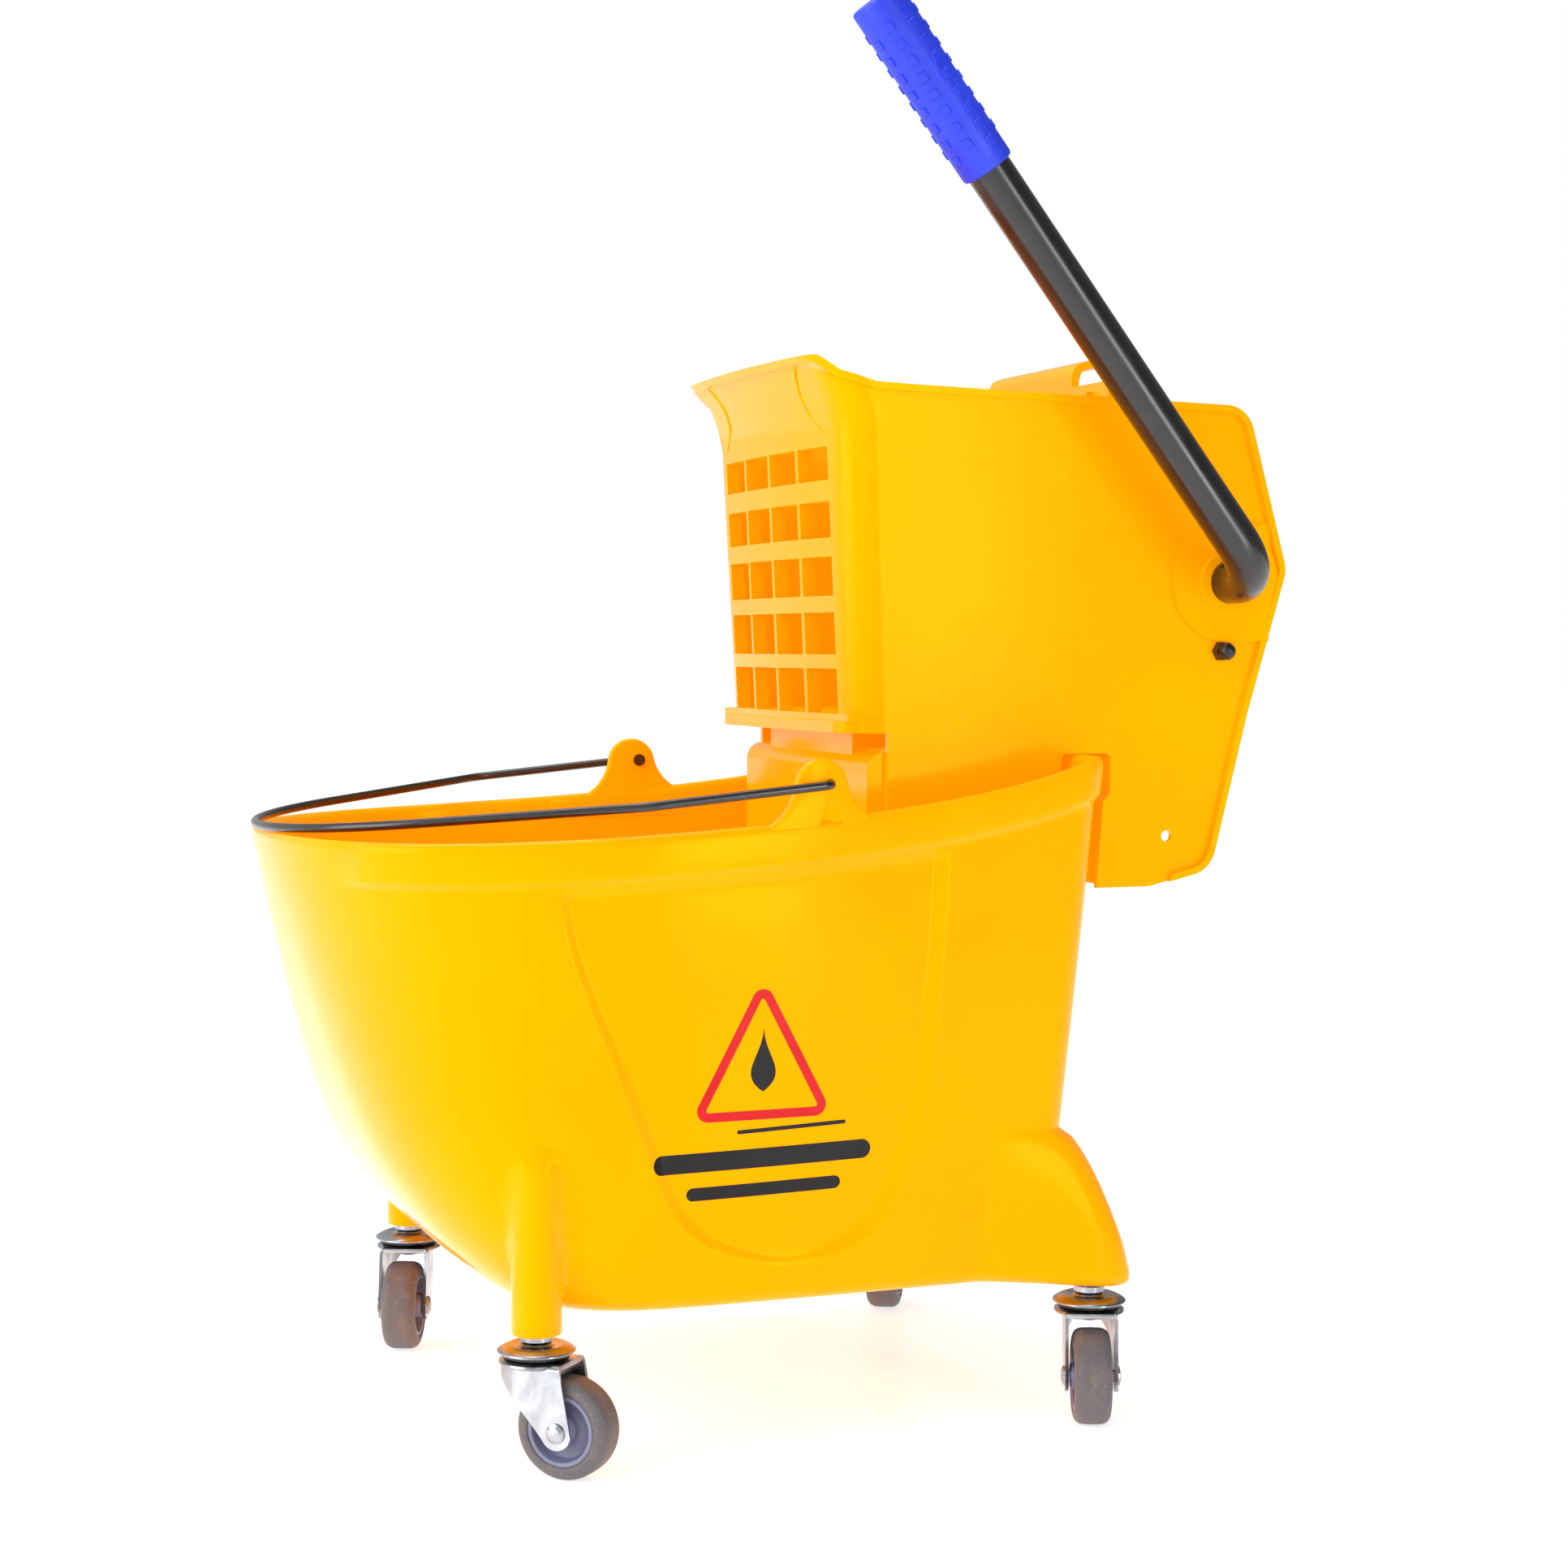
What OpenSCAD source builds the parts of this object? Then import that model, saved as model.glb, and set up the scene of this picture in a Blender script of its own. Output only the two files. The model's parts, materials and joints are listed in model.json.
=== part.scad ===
// Wheeled mop bucket with a side-press wringer, in millimetres.
// The ground is z = 0 and y = 0 is the plane of symmetry. The pouring bow points along -X,
// the wringer hangs on the rear edge at +X, and -Y is the left-hand side facing forward.

/* [Bucket] */
// Height of the rim at the bow
bow_rim_z = 395; // [388:1:398]
// How much higher the rim stands at the rear edge
rim_rise = 49; // [44:1:50]
// Half width of the body just under the rim
rim_half_width = 206; // [205:1:208]
// Half width of the body at its underside
floor_half_width = 184; // [178:1:188]
// Underside of the tub above the ground
tub_floor_z = 96; // [94:1:99]
// Thickness of the tub's wall
tub_wall = 4.4; // [3.6:0.2:5]
// Height of the band that runs around under the rim
band_h = 26; // [20:1:30]
// Height of the bail's pivot holes
ear_hole_z = 430; // [429:1:431]
// Radius of the round top of each ear
ear_r = 18; // [15:1:19]

/* [Casters] */
// Wheel diameter over the tread
wheel_d = 63.5; // [60:0.5:64]
// Width of the tread
tread_w = 25; // [20:1:26]
// Horizontal distance from the swivel axis to the axle
caster_trail = 22.5; // [20:0.5:24]
// Half the distance between the front casters' swivel axes
front_track = 177; // [174:1:180]
// Half the distance between the rear casters' swivel axes
rear_track = 174; // [170:1:178]

/* [Wringer] */
// Half width over the cheeks where the wringer's floor is
cheek_half_width = 124; // [120:1:126]
// Thickness of the cheeks
cheek_wall = 4; // [3.4:0.2:4.4]
// Columns of windows in the front grid
grid_columns = 4; // [3:1:4]
// Rows of windows in the front grid
grid_rows = 5; // [4:1:5]
// How much taller the lowest row's windows are than the highest row's
grid_taper = 8; // [0:1:10]
// Height of the handle's pivot
shaft_z = 563; // [562:1:564]

/* [Press] */
// Forward lean of the handle at rest, in degrees from upright
handle_lean = 38.1; // [34:0.1:40]
// Distance from the pivot to the end of the grip
handle_reach = 466; // [430:1:470]
// Outside diameter of the handle tube
handle_d = 30; // [28:0.5:30]
// Length of the rubber grip
grip_length = 130; // [110:5:140]
// Distance from the pivot to the bolt at the tip of each arm
arm_length = 80; // [78:0.5:80]

/* [Hidden] */
// ---- frame of reference -------------------------------------------------------------
bow_x = -347;
bow_rim_x = -354;
rim_run = 534;
front_caster_x = -207;
rear_caster_x = 179;

// ---- tub ----------------------------------------------------------------------------
stern_bulge = 12;
corner_r = 22;
foot_top_z = 196;
foot_z = 88;
foot_back = 64;
foot_side = 20;
front_points = 14;
side_points = 9;
corner_points = 4;
stern_points = 4;
post_r = 16;
post_top_z = 190;
ear_x = -22;
ear_top_x = -27;
ear_y = 204.5;
ear_t = 7;

// ---- bail ---------------------------------------------------------------------------
wire_r = 3;
bail_y = 211;
bail_reach = 327;
bail_bend = 7;
bail_kink_x = -125;
bail_kink_r = 30;
bail_converge = 31;
bail_sag = asin((ear_hole_z - bow_rim_z - wire_r - 0.3) / bail_reach);
bow_r = (bail_y / tan(bail_converge) - (bail_reach + bail_kink_x))
    / (1 / sin(bail_converge) - 1);

// ---- caster -------------------------------------------------------------------------
axle_z = wheel_d / 2;
socket_r = 5.6;
socket_depth = 42;
stem_r = 5.5;
shank_r = 6;
core_r = 22.5;
hub_half = 14.2;
leg_in = 15;
leg_t = 2.6;

// each row: name, x, y, direction in which the wheel trails
CASTERS = [
    ["front_left", front_caster_x, -front_track, -44],
    ["front_right", front_caster_x, front_track, -113],
    ["rear_left", rear_caster_x, -rear_track, -112.5],
    ["rear_right", rear_caster_x, rear_track, -120]
];
CASTER_PARTS = ["stem", "raceway", "seal", "fork", "axle", "wheel_core", "tread"];

// ---- wringer ------------------------------------------------------------------------
floor_z = 467;
floor_t = 5;
grid_top_z = 661;
draft = 0.032;
lean_back = 0.0487;
front_x = 15;
wringer_corner_r = 25;
front_bow = 5;
grid_t = 10;
hook_z = bow_rim_z + rim_rise + 0.4;
shaft_x = 303;
boss_r = 41;
boss_y = 131;
bushing_r = 18;
tie_x = 302;
tie_z = 515;
tie_r = 3.2;
hang_hole_x = 263;
hang_hole_z = 386;
housing_x = 38;
housing_half = 118;

// ---- press --------------------------------------------------------------------------
tube_wall = 1.6;
handle_y = -180;
bend_r = 34;
shaft_r = handle_d / 2 - tube_wall - 0.1;
shaft_wall = 2;
arm_lean = 8.1;
arm_t = 4;
arm_in = 96;
link_length = 78.4;
link_drop = 64.34;
link_t = 2.5;
link_gap = 1;
bolt_r = 4;
slot_r = 8.4;
arm_tip = [shaft_x - arm_length * sin(arm_lean), shaft_z + arm_length * cos(arm_lean)];
press_pivot = [254, 573];
press_x = 212;
press_t = 6;
press_low_z = 474;
press_high_z = 700;
lip_z = 720;
lip_half = 70;
coil_in = 101.5;
coil_out = 119.5;
coil_r = 15.2;
spring_wire_r = 2;

yellow = [1, 0.72, 0.02];
black_steel = [0.06, 0.06, 0.07];
zinc = [0.78, 0.79, 0.8];
eps = 0.01;
$fn = 64;

function spread(name) = [for (c = CASTERS) str(c[0], "_", name)];

// ======================================================================== shared shapes
// 0 at a, 1 at b, with a smooth start and end
function ease(a, b, v) = let (t = min(1, max(0, (v - a) / (b - a)))) t * t * (3 - 2 * t);

// A half ring from the bow to the stern, closed with its own mirror image
function whole_ring(half) = concat(
    half,
    [for (i = [len(half) - 2:-1:1]) [half[i].x, -half[i].y, half[i].z]]
);

// A closed skin over a stack of rings, each capped with strips from side to side
module loft(rings) {
    n = len(rings[0]);
    last = (len(rings) - 1) * n;
    h = n / 2;
    polyhedron(
        points = [for (ring = rings) each ring],
        faces = concat(
            [for (i = [0:len(rings) - 2], j = [0:n - 1]) let (k = (j + 1) % n)
                [i * n + j, i * n + k, (i + 1) * n + k, (i + 1) * n + j]],
            [[n - 1, 1, 0], [h + 1, h, h - 1]],
            [for (j = [1:h - 2]) [n - j, n - j - 1, j + 1, j]],
            [[last, last + 1, last + n - 1], [last + h - 1, last + h, last + h + 1]],
            [for (j = [1:h - 2]) [last + j, last + j + 1, last + n - j - 1, last + n - j]]
        )
    );
}

// A straight bar with round ends in the XY plane
module bar_2d(a, ra, b, rb) {
    d = b - a;
    turn = atan2(d.y, d.x);
    half = acos((ra - rb) / norm(d));
    translate(a) circle(ra);
    translate(b) circle(rb);
    polygon([
        a + ra * [cos(turn + half), sin(turn + half)],
        a + ra * [cos(turn - half), sin(turn - half)],
        b + rb * [cos(turn - half), sin(turn - half)],
        b + rb * [cos(turn + half), sin(turn + half)]
    ]);
}

// An outline in the XZ plane, given thickness from y = low to y = high
module slab_y(low, high) {
    translate([0, high, 0])
        rotate([90, 0, 0])
            linear_extrude(high - low)
                children();
}

// A round bar along Y
module rod_y(x, z, low, high, r) {
    translate([x, high, z])
        rotate([90, 0, 0])
            cylinder(h = high - low, r = r);
}

// ================================================================================ tub
// s runs from 0 at the underside to 1 at the rim, and o is an offset outwards
function rim_z(x) = let (t = min(1, max(0, (x - bow_rim_x) / rim_run)))
    bow_rim_z + rim_rise * (0.68 * pow(t, 2) + 0.32 * pow(t, 8));
function bow(s) = bow_x + 78 * pow(1 - s, 1.1) + 62 * pow(1 - s, 6);
function stern(s) = 147 + 42 * s;
function shoulder(s) = -147 + 90 * (1 - s);
function beam(s) = floor_half_width + (rim_half_width - floor_half_width) * pow(s, 0.6);
function stern_share(s) = 0.97 - 0.115 * s;
function roundness(s) = 2 / (2.4 + 2.1 * pow(1 - s, 1.5));
function side_y(s, o, x) = let (run = max(0, x - shoulder(s)) / (stern(s) - shoulder(s)))
    (beam(s) + o) * (1 - (1 - stern_share(s)) * pow(run, 1.5));

function tub_outline(s, o) = let (
    front = bow(s) - o,
    mid = shoulder(s),
    r = corner_r + o,
    back = stern(s) + o - r,
    yc = side_y(s, o, back) - r,
    e = roundness(s)
) [
    for (i = [0:front_points]) let (a = 90 * i / front_points)
        [mid - (mid - front) * pow(cos(a), e), (beam(s) + o) * pow(sin(a), e)],
    for (i = [1:side_points]) let (x = mid + (back - mid) * i / side_points)
        [x, side_y(s, o, x)],
    for (i = [1:corner_points]) let (a = 90 * i / corner_points)
        [back + r * sin(a), yc + r * cos(a)],
    for (i = [1:stern_points]) let (y = yc * (1 - i / stern_points))
        [back + r + stern_bulge * (1 - pow(y / yc, 2)), y]
];

// The rear corners swell backwards and outwards into feet that hold the rear casters
function foot_share(p) = ease(93, 143, p.x) * ease(105, 150, p.y);
function with_foot(p, z, low) = let (
    w = foot_share(p),
    t = min(1, max(0, (foot_top_z - z) / (foot_top_z - foot_z)))
) [
    p.x + foot_back * pow(t, 0.7) * w,
    p.y + foot_side * pow(t, 0.8) * w,
    z - (low ? (tub_floor_z - foot_z) * w : 0)
];

// level: [s, drop below that height, outward offset, 1 with feet or 0 without]
function tub_ring(level) = let (s = max(0, level[0] - level[1] / 300)) whole_ring([
    for (p = tub_outline(s, level[2]))
        let (z = tub_floor_z + level[0] * (rim_z(p.x) - tub_floor_z) - level[1])
            level[3] == 0 ? [p.x, p.y, z] : with_foot(p, z, level[0] < 0.05)
]);

module tub_shell() {
    outer = [
        [0, 0, -7, 1], [0.006, 0, -2.4, 1], [0.03, 0, 0, 1], [0.09, 0, 0, 1], [0.17, 0, 0, 1],
        [0.26, 0, 0, 1], [0.38, 0, 0, 1], [0.54, 0, 0, 0], [0.72, 0, 0, 0],
        [1, band_h + 1, 0, 0]
    ];
    rim = [
        [1, band_h, 3.5, 0], [1, 6, 4, 0], [1, 1.8, 2.8, 0], [1, 0, 0.2, 0],
        [1, 1.4, -2.8, 0], [1, 6, -tub_wall, 0]
    ];
    inner = [for (s = [0.72, 0.54, 0.38, 0.26, 0.17, 0.09]) [s, 0, -tub_wall, 0]];
    floor_in = [[0.03, 0, -tub_wall - 3, 0], [0.016, 0, -tub_wall - 10, 0]];
    loft([for (level = concat(outer, rim, inner, floor_in)) tub_ring(level)]);
}

module ear(side) {
    low = side > 0 ? ear_y - ear_t : -ear_y;
    difference() {
        slab_y(low, low + ear_t)
            intersection() {
                offset(r = -34) offset(delta = 34) {
                    translate([ear_top_x, ear_hole_z - 1.6]) circle(ear_r);
                    translate([-140, 340]) square([113, 60]);
                    translate([ear_top_x - 12, 360]) square([26, 64]);
                    translate([-27, 340]) square([113, 65]);
                }
                translate([-92, 388]) square([122, 80]);
            }
        rod_y(ear_x, ear_hole_z, low - 1, low + ear_t + 1, wire_r + 0.08);
    }
}

module caster_post(c) {
    translate([c[1], c[2], foot_z])
        cylinder(h = post_top_z - foot_z, r = post_r);
    translate([c[1], c[2], post_top_z]) sphere(post_r);
}

module bucket_tub() {
    color(yellow)
        difference() {
            union() {
                tub_shell();
                ear(-1);
                ear(1);
                caster_post(CASTERS[0]);
                caster_post(CASTERS[1]);
            }
            for (c = CASTERS)
                translate([c[1], c[2], foot_z - 12])
                    cylinder(h = socket_depth + 12, r = socket_r);
        }
}

// =============================================================================== bail
module bail_side() {
    cut = bail_kink_r * tan(bail_converge / 2);
    kink_end = [
        bail_kink_x - cut * cos(bail_converge),
        -bail_y + cut * sin(bail_converge)
    ];
    bow_end = [bow_r - bail_reach - bow_r * sin(bail_converge), -bow_r * cos(bail_converge)];
    rod_y(0, 0, -bail_y + bail_bend, -ear_y + ear_t + 3.4, wire_r);
    rod_y(0, 0, -ear_y + ear_t + 0.6, -ear_y + ear_t + 3.4, wire_r + 1.5);
    wire_arc([-bail_bend, -bail_y + bail_bend], bail_bend, 270, 90);
    straight([-bail_bend, -bail_y], [bail_kink_x + cut, -bail_y]);
    wire_arc([bail_kink_x + cut, -bail_y + bail_kink_r], bail_kink_r,
        270 - bail_converge, bail_converge);
    straight(kink_end, bow_end);
}

// Each arc is a hair thicker than the straights and laps over their ends
module wire_arc(centre, r, start, sweep) {
    lap = asin(0.25 / r);
    translate([centre.x, centre.y, 0])
        rotate([0, 0, start - lap])
            rotate_extrude(angle = sweep + 2 * lap)
                translate([r, 0]) circle(wire_r + 0.02);
}

module straight(a, b) {
    d = b - a;
    translate([a.x, a.y, 0])
        rotate([0, 0, atan2(d.y, d.x)])
            rotate([0, 90, 0])
                cylinder(h = norm(d), r = wire_r);
}

module bail_wire() {
    color(black_steel)
        translate([ear_x, 0, ear_hole_z])
            rotate([0, -bail_sag, 0]) {
                bail_side();
                mirror([0, 1, 0]) bail_side();
                wire_arc([bow_r - bail_reach, 0], bow_r, 90 + bail_converge,
                    180 - 2 * bail_converge);
            }
}

// ============================================================================ casters
module at_caster(c) {
    translate([c[1], c[2], 0])
        rotate([0, 0, c[3]])
            children();
}

module caster_stem(c) {
    color(zinc)
        at_caster(c)
            rotate_extrude()
                polygon([
                    [0, 65.5], [8, 65.5], [9, 66.5], [9, 69.4], [shank_r, 69.4],
                    [shank_r, 84.4], [10.5, 84.4], [10.5, foot_z], [stem_r, foot_z],
                    [stem_r, foot_z + socket_depth - 4], [stem_r - 2, foot_z + socket_depth - 2],
                    [0, foot_z + socket_depth - 2]
                ]);
}

module caster_raceway(c) {
    color(zinc)
        at_caster(c)
            rotate_extrude()
                polygon([
                    [shank_r + 0.05, 80.4], [17, 80.4], [22.5, 78.2], [24.6, 78.2], [24.8, 79.4],
                    [23.6, 81], [18, 83.2], [13, 84.2], [shank_r + 0.05, 84.2]
                ]);
}

module caster_seal(c) {
    color([0.08, 0.08, 0.08])
        at_caster(c)
            rotate_extrude()
                polygon([
                    [shank_r + 0.3, 76.2], [14, 76.2], [14, 75.2], [21.6, 75.2], [22.2, 77.9],
                    [16.8, 80.1], [shank_r + 0.3, 80.1]
                ]);
}

module caster_fork(c) {
    color(zinc)
        at_caster(c)
            difference() {
                union() {
                    rotate_extrude()
                        polygon([
                            [shank_r + 0.08, 69.8], [15, 69.8], [18, 69.2], [23.6, 69.2],
                            [24, 74.2], [22, 74.9], [13.7, 74.9], [13.7, 75.9],
                            [shank_r + 0.08, 75.9]
                        ]);
                    for (side = [-1, 1]) {
                        low = side > 0 ? leg_in : -leg_in - leg_t;
                        slab_y(low, low + leg_t) fork_leg_2d();
                    }
                }
                rod_y(caster_trail, axle_z, -30, 30, bolt_r + 0.04);
            }
}

module fork_leg_2d() {
    difference() {
        union() {
            polygon([
                [-15.5, 70.4], [-14, 62], [6, 38], [caster_trail - 6.6, 23.4],
                [caster_trail + 10.9, 33.6], [24.6, 62], [24.6, 70.4], [20, 73.6], [-12, 73.6]
            ]);
            translate([caster_trail, axle_z]) circle(11);
        }
        translate([-40, -eps]) square([24.4, 90]);
    }
}

module caster_axle(c) {
    color(zinc)
        at_caster(c)
            translate([caster_trail, 0, axle_z])
                rotate([90, 0, 0])
                    for (side = [0, 1])
                        mirror([0, 0, side])
                            rotate_extrude()
                                polygon([
                                    [0, 0], [bolt_r, 0], [bolt_r, leg_in + leg_t + 0.02],
                                    [6.6, leg_in + leg_t + 0.02], [6.2, leg_in + leg_t + 1.3],
                                    [4, leg_in + leg_t + 2.3], [0, leg_in + leg_t + 2.7]
                                ]);
}

module caster_wheel_core(c) {
    color([0.62, 0.62, 0.72])
        at_caster(c)
            translate([caster_trail, 0, axle_z])
                rotate([90, 0, 0])
                    rotate_extrude()
                        polygon([
                            [bolt_r + 0.08, -hub_half], [8.4, -hub_half], [9, -7.6], [15, -3.4],
                            [19.4, -4], [20.4, -11.6], [core_r, -11.6], [core_r, 11.6],
                            [20.4, 11.6], [19.4, 4], [15, 3.4], [9, 7.6], [8.4, hub_half],
                            [bolt_r + 0.08, hub_half]
                        ]);
}

module caster_tread(c) {
    half = tread_w / 2;
    color([0.42, 0.4, 0.4])
        at_caster(c)
            translate([caster_trail, 0, axle_z])
                rotate([90, 0, 0])
                    rotate_extrude()
                        polygon([
                            [core_r + 0.02, -half + 0.4], [axle_z - 7, -half], [axle_z - 3.4, -half + 1],
                            [axle_z - 1, -half + 3.4], [axle_z, -half + 7], [axle_z, half - 7],
                            [axle_z - 1, half - 3.4], [axle_z - 3.4, half - 1],
                            [axle_z - 7, half], [core_r + 0.02, half - 0.4]
                        ]);
}

// ============================================================================ wringer
function cheek_y(z) = cheek_half_width + (z - floor_z) * draft;
function grid_x(z) = front_x + (grid_top_z - z) * lean_back
    - (z > grid_top_z ? 16 * pow((z - grid_top_z) / 46, 1.8) : 0);

// o moves the cheeks outwards, and front_o the front face
function wringer_ring(z, o, front_o) = let (
    half = cheek_y(z) + o,
    front = grid_x(z) - front_o,
    r = wringer_corner_r + o,
    yc = half - r
) whole_ring([
    for (i = [0:4]) let (y = yc * i / 4) [front - front_bow * (1 - pow(i / 4, 2)), y, z],
    for (a = [15:15:90]) [front + r - r * cos(a), yc + r * sin(a), z],
    [400, half, z],
    [404, 0, z]
]);

module wringer_block(o) {
    heights = [330, floor_z, grid_top_z, 676, 688, 699, 709, 718];
    loft([for (z = heights) wringer_ring(z, o, o)]);
}

module wringer_cavity() {
    lower = [for (z = [320, floor_z, grid_top_z - 6]) wringer_ring(z, -cheek_wall, -grid_t)];
    upper = [for (z = [grid_top_z + 4, 676, 688, 699, 709, 730])
        wringer_ring(z, -cheek_wall, -cheek_wall)];
    loft(concat(lower, upper));
}

// The cheek seen from the side, with the hook that drops over the bucket's rear edge
module cheek_2d() {
    difference() {
        union() {
            round_2d(22)
                polygon([
                    [120, 689.5], [316, 685], [350, 572], [322, 472], [296, 362],
                    [250, 351], [120, 351]
                ]);
            round_2d(5)
                polygon([
                    [-30, 709], [-2, 709], [12, 699], [36, 692], [62, 691], [252, 686],
                    [252, 351], [51, 351], [51, floor_z - 8], [-30, floor_z - 8]
                ]);
        }
        hook_slot_2d();
    }
}

module round_2d(r) {
    offset(r = r) offset(delta = -r) children();
}

// Room for the bucket's rear wall
module hook_slot_2d() {
    offset(r = 3) offset(delta = -3)
        polygon([
            [181, hook_z], [218, hook_z], [218, 416], [213, 411], [208, 330], [171, 330]
        ]);
}

// Rolled bead along the top and rear edges of the cheek
module bead_2d() {
    intersection() {
        difference() {
            cheek_2d();
            offset(delta = -4.4) cheek_2d();
        }
        polygon([
            [-30, 720], [-30, 670], [296, 670], [296, 420], [268, 374], [262, 340],
            [380, 340], [380, 720]
        ]);
    }
}

module wringer_walls() {
    difference() {
        union() {
            intersection() {
                wringer_block(0);
                slab_y(-160, 160) cheek_2d();
            }
            intersection() {
                wringer_block(5);
                slab_y(-160, 160) bead_2d();
            }
        }
        wringer_cavity();
    }
}

module wringer_floor() {
    difference() {
        union() {
            translate([22, -cheek_half_width + 2, floor_z])
                cube([240, 2 * cheek_half_width - 4, floor_t]);
            translate([17, 0, floor_z - 7.5])
                linear_extrude(7.6)
                    offset(r = 16)
                        translate([16, -cheek_half_width + 18])
                            square([30, 2 * cheek_half_width - 36]);
        }
        for (y = [-80:40:80])
            translate([70, y - 5, floor_z - 20]) cube([150, 10, 40]);
    }
}

module wringer_neck() {
    difference() {
        translate([43, -80, 440]) cube([128, 160, floor_z - 7 - 440]);
        translate([47, -76, 430]) cube([120, 152, 60]);
    }
}

// Lower housing that stands inside the bucket, with a ribbed drain deck on top
module housing_2d(inset) {
    offset(r = 12) offset(delta = -12 - inset)
        polygon([
            [housing_x, 340], [housing_x, 445], [172, 456], [172, 340]
        ]);
}

module lower_housing() {
    difference() {
        intersection() {
            slab_y(-housing_half, housing_half) housing_2d(0);
            translate([0, -200, 354]) cube([300, 400, 140]);
        }
        slab_y(-housing_half + 4, housing_half - 4) housing_2d(4);
    }
    for (i = [0:14])
        translate([54 + i * 7.6, -housing_half + 8, 443 + i * 0.62])
            cube([2.2, 2 * housing_half - 16, 5]);
}

// Shelf and wall behind the hooks, which close the gap over the bucket's rear edge
module hook_wall() {
    slab_y(-housing_half, housing_half)
        polygon([
            [168, hook_z], [218, hook_z], [218, 416], [213, 411], [208.5, 354], [213, 354],
            [217.5, 409], [222, 414], [222, hook_z + 4.6], [168, hook_z + 4.6]
        ]);
}

module boss(side) {
    low = side > 0 ? cheek_half_width + 1 : -boss_y;
    high = low + boss_y - cheek_half_width - 1;
    rod_y(shaft_x, shaft_z, low, high, boss_r);
    translate([shaft_x, low, shaft_z - boss_r])
        cube([34, high - low, 2 * boss_r]);
}

module grid_windows() {
    pitch = 2 * 103 / grid_columns;
    step = (grid_top_z - 5 - floor_z) / grid_rows;
    for (column = [0:grid_columns - 1], row = [0:grid_rows - 1]) {
        share = row / (grid_rows - 1);
        translate([
            -20,
            -103 + pitch * column + 2.2,
            floor_z + floor_t + step * row + grid_taper * (share * 1.2 - share * share * 0.5)
        ])
            cube([70, pitch - 4.4, step - 7.5 - grid_taper * share]);
    }
}

module wringer_body() {
    color(yellow)
        difference() {
            union() {
                wringer_walls();
                wringer_floor();
                wringer_neck();
                lower_housing();
                hook_wall();
                boss(-1);
                boss(1);
            }
            grid_windows();
            rod_y(shaft_x, shaft_z, -160, 160, bushing_r + 0.05);
            rod_y(tie_x, tie_z, -160, 160, tie_r + 0.1);
            rod_y(hang_hole_x, hang_hole_z, -160, 160, 4);
        }
}

module bushing(side, bore_r) {
    flange = 5;
    inner = cheek_y(shaft_z) - cheek_wall - 2;
    color([0.98, 0.68, 0.02])
        mirror([0, side > 0 ? 0 : 1, 0])
            difference() {
                union() {
                    rod_y(shaft_x, shaft_z, inner, boss_y + 1, bushing_r);
                    slab_y(boss_y + 0.02, boss_y + flange)
                        intersection() {
                            translate([shaft_x, shaft_z]) circle(21.5);
                            translate([shaft_x - 30, shaft_z - 18]) square([60, 36]);
                        }
                }
                rod_y(shaft_x, shaft_z, 100, 160, bore_r + 0.05);
            }
}

module tie_rod() {
    color([0.75, 0.75, 0.77]) rod_y(tie_x, tie_z, -134, 134, tie_r);
}

module cap_nuts() {
    face = cheek_y(tie_z) + 0.3;
    color([0.05, 0.05, 0.05])
        for (side = [0, 1])
            mirror([0, side, 0])
                difference() {
                    union() {
                        translate([tie_x, face + 7, tie_z])
                            rotate([90, 0, 0]) cylinder(h = 7, r = 7.2, $fn = 6);
                        rod_y(tie_x, tie_z, face + 6.9, face + 9, 6);
                        translate([tie_x, face + 9, tie_z]) sphere(6);
                    }
                    rod_y(tie_x, tie_z, 100, 134.1, tie_r + 0.02);
                }
}

// ============================================================================= handle
module along_handle() {
    translate([shaft_x, 0, shaft_z])
        rotate([0, -handle_lean, 0])
            children();
}

module handle_sweep(r, extra) {
    along_handle() {
        rod_y(0, 0, handle_y + bend_r, -118 + extra, r);
        multmatrix([
            [0, 0, -1, 0],
            [0, -1, 0, handle_y + bend_r],
            [-1, 0, 0, bend_r],
            [0, 0, 0, 1]
        ])
            rotate_extrude(angle = 90)
                translate([bend_r, 0]) circle(r);
        translate([0, handle_y, bend_r])
            cylinder(h = handle_reach - 6 - bend_r + extra, r = r);
    }
}

module handle_tube() {
    color(black_steel)
        difference() {
            handle_sweep(handle_d / 2, 0);
            handle_sweep(handle_d / 2 - tube_wall, 1);
            rod_pin(2.54);
        }
}

module handle_grip() {
    grip_r = handle_d / 2 + 3.2;
    color([0.1, 0.2, 0.85])
        along_handle()
            translate([0, handle_y, handle_reach])
                rotate([180, 0, 0])
                    rotate_extrude()
                        polygon([
                            [0, 0], [grip_r - 2, 0], [grip_r, 1.6], [grip_r, grip_length - 1],
                            [grip_r - 1, grip_length], [handle_d / 2 + 0.03, grip_length],
                            [handle_d / 2 + 0.03, 5.9], [0, 5.9]
                        ]);
}

module cross_shaft() {
    color(black_steel)
        difference() {
            rod_y(shaft_x, shaft_z, handle_y + bend_r, 137.5, shaft_r);
            rod_y(shaft_x, shaft_z, handle_y + bend_r - 1, 133, shaft_r - shaft_wall);
            rod_pin(2.54);
        }
}

module rod_pin(r) {
    translate([shaft_x, -141.4, shaft_z])
        rotate([0, -handle_lean, 0])
            translate([0, 0, -16]) cylinder(h = 32, r = r);
}

module shaft_pin() {
    color([0.1, 0.1, 0.1]) rod_pin(2.5);
}

// A stamped arm, wide at the shaft, with a stiffening flange folded along its rear edge
module arm_2d() {
    round_2d(4)
        polygon([
            [-6, -21], [10, -19], [26, 2], [16, 93], [-5, 96], [-14, 87], [-14, 62],
            [-9, 52], [-17, 18], [-20, -8]
        ]);
}

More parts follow.
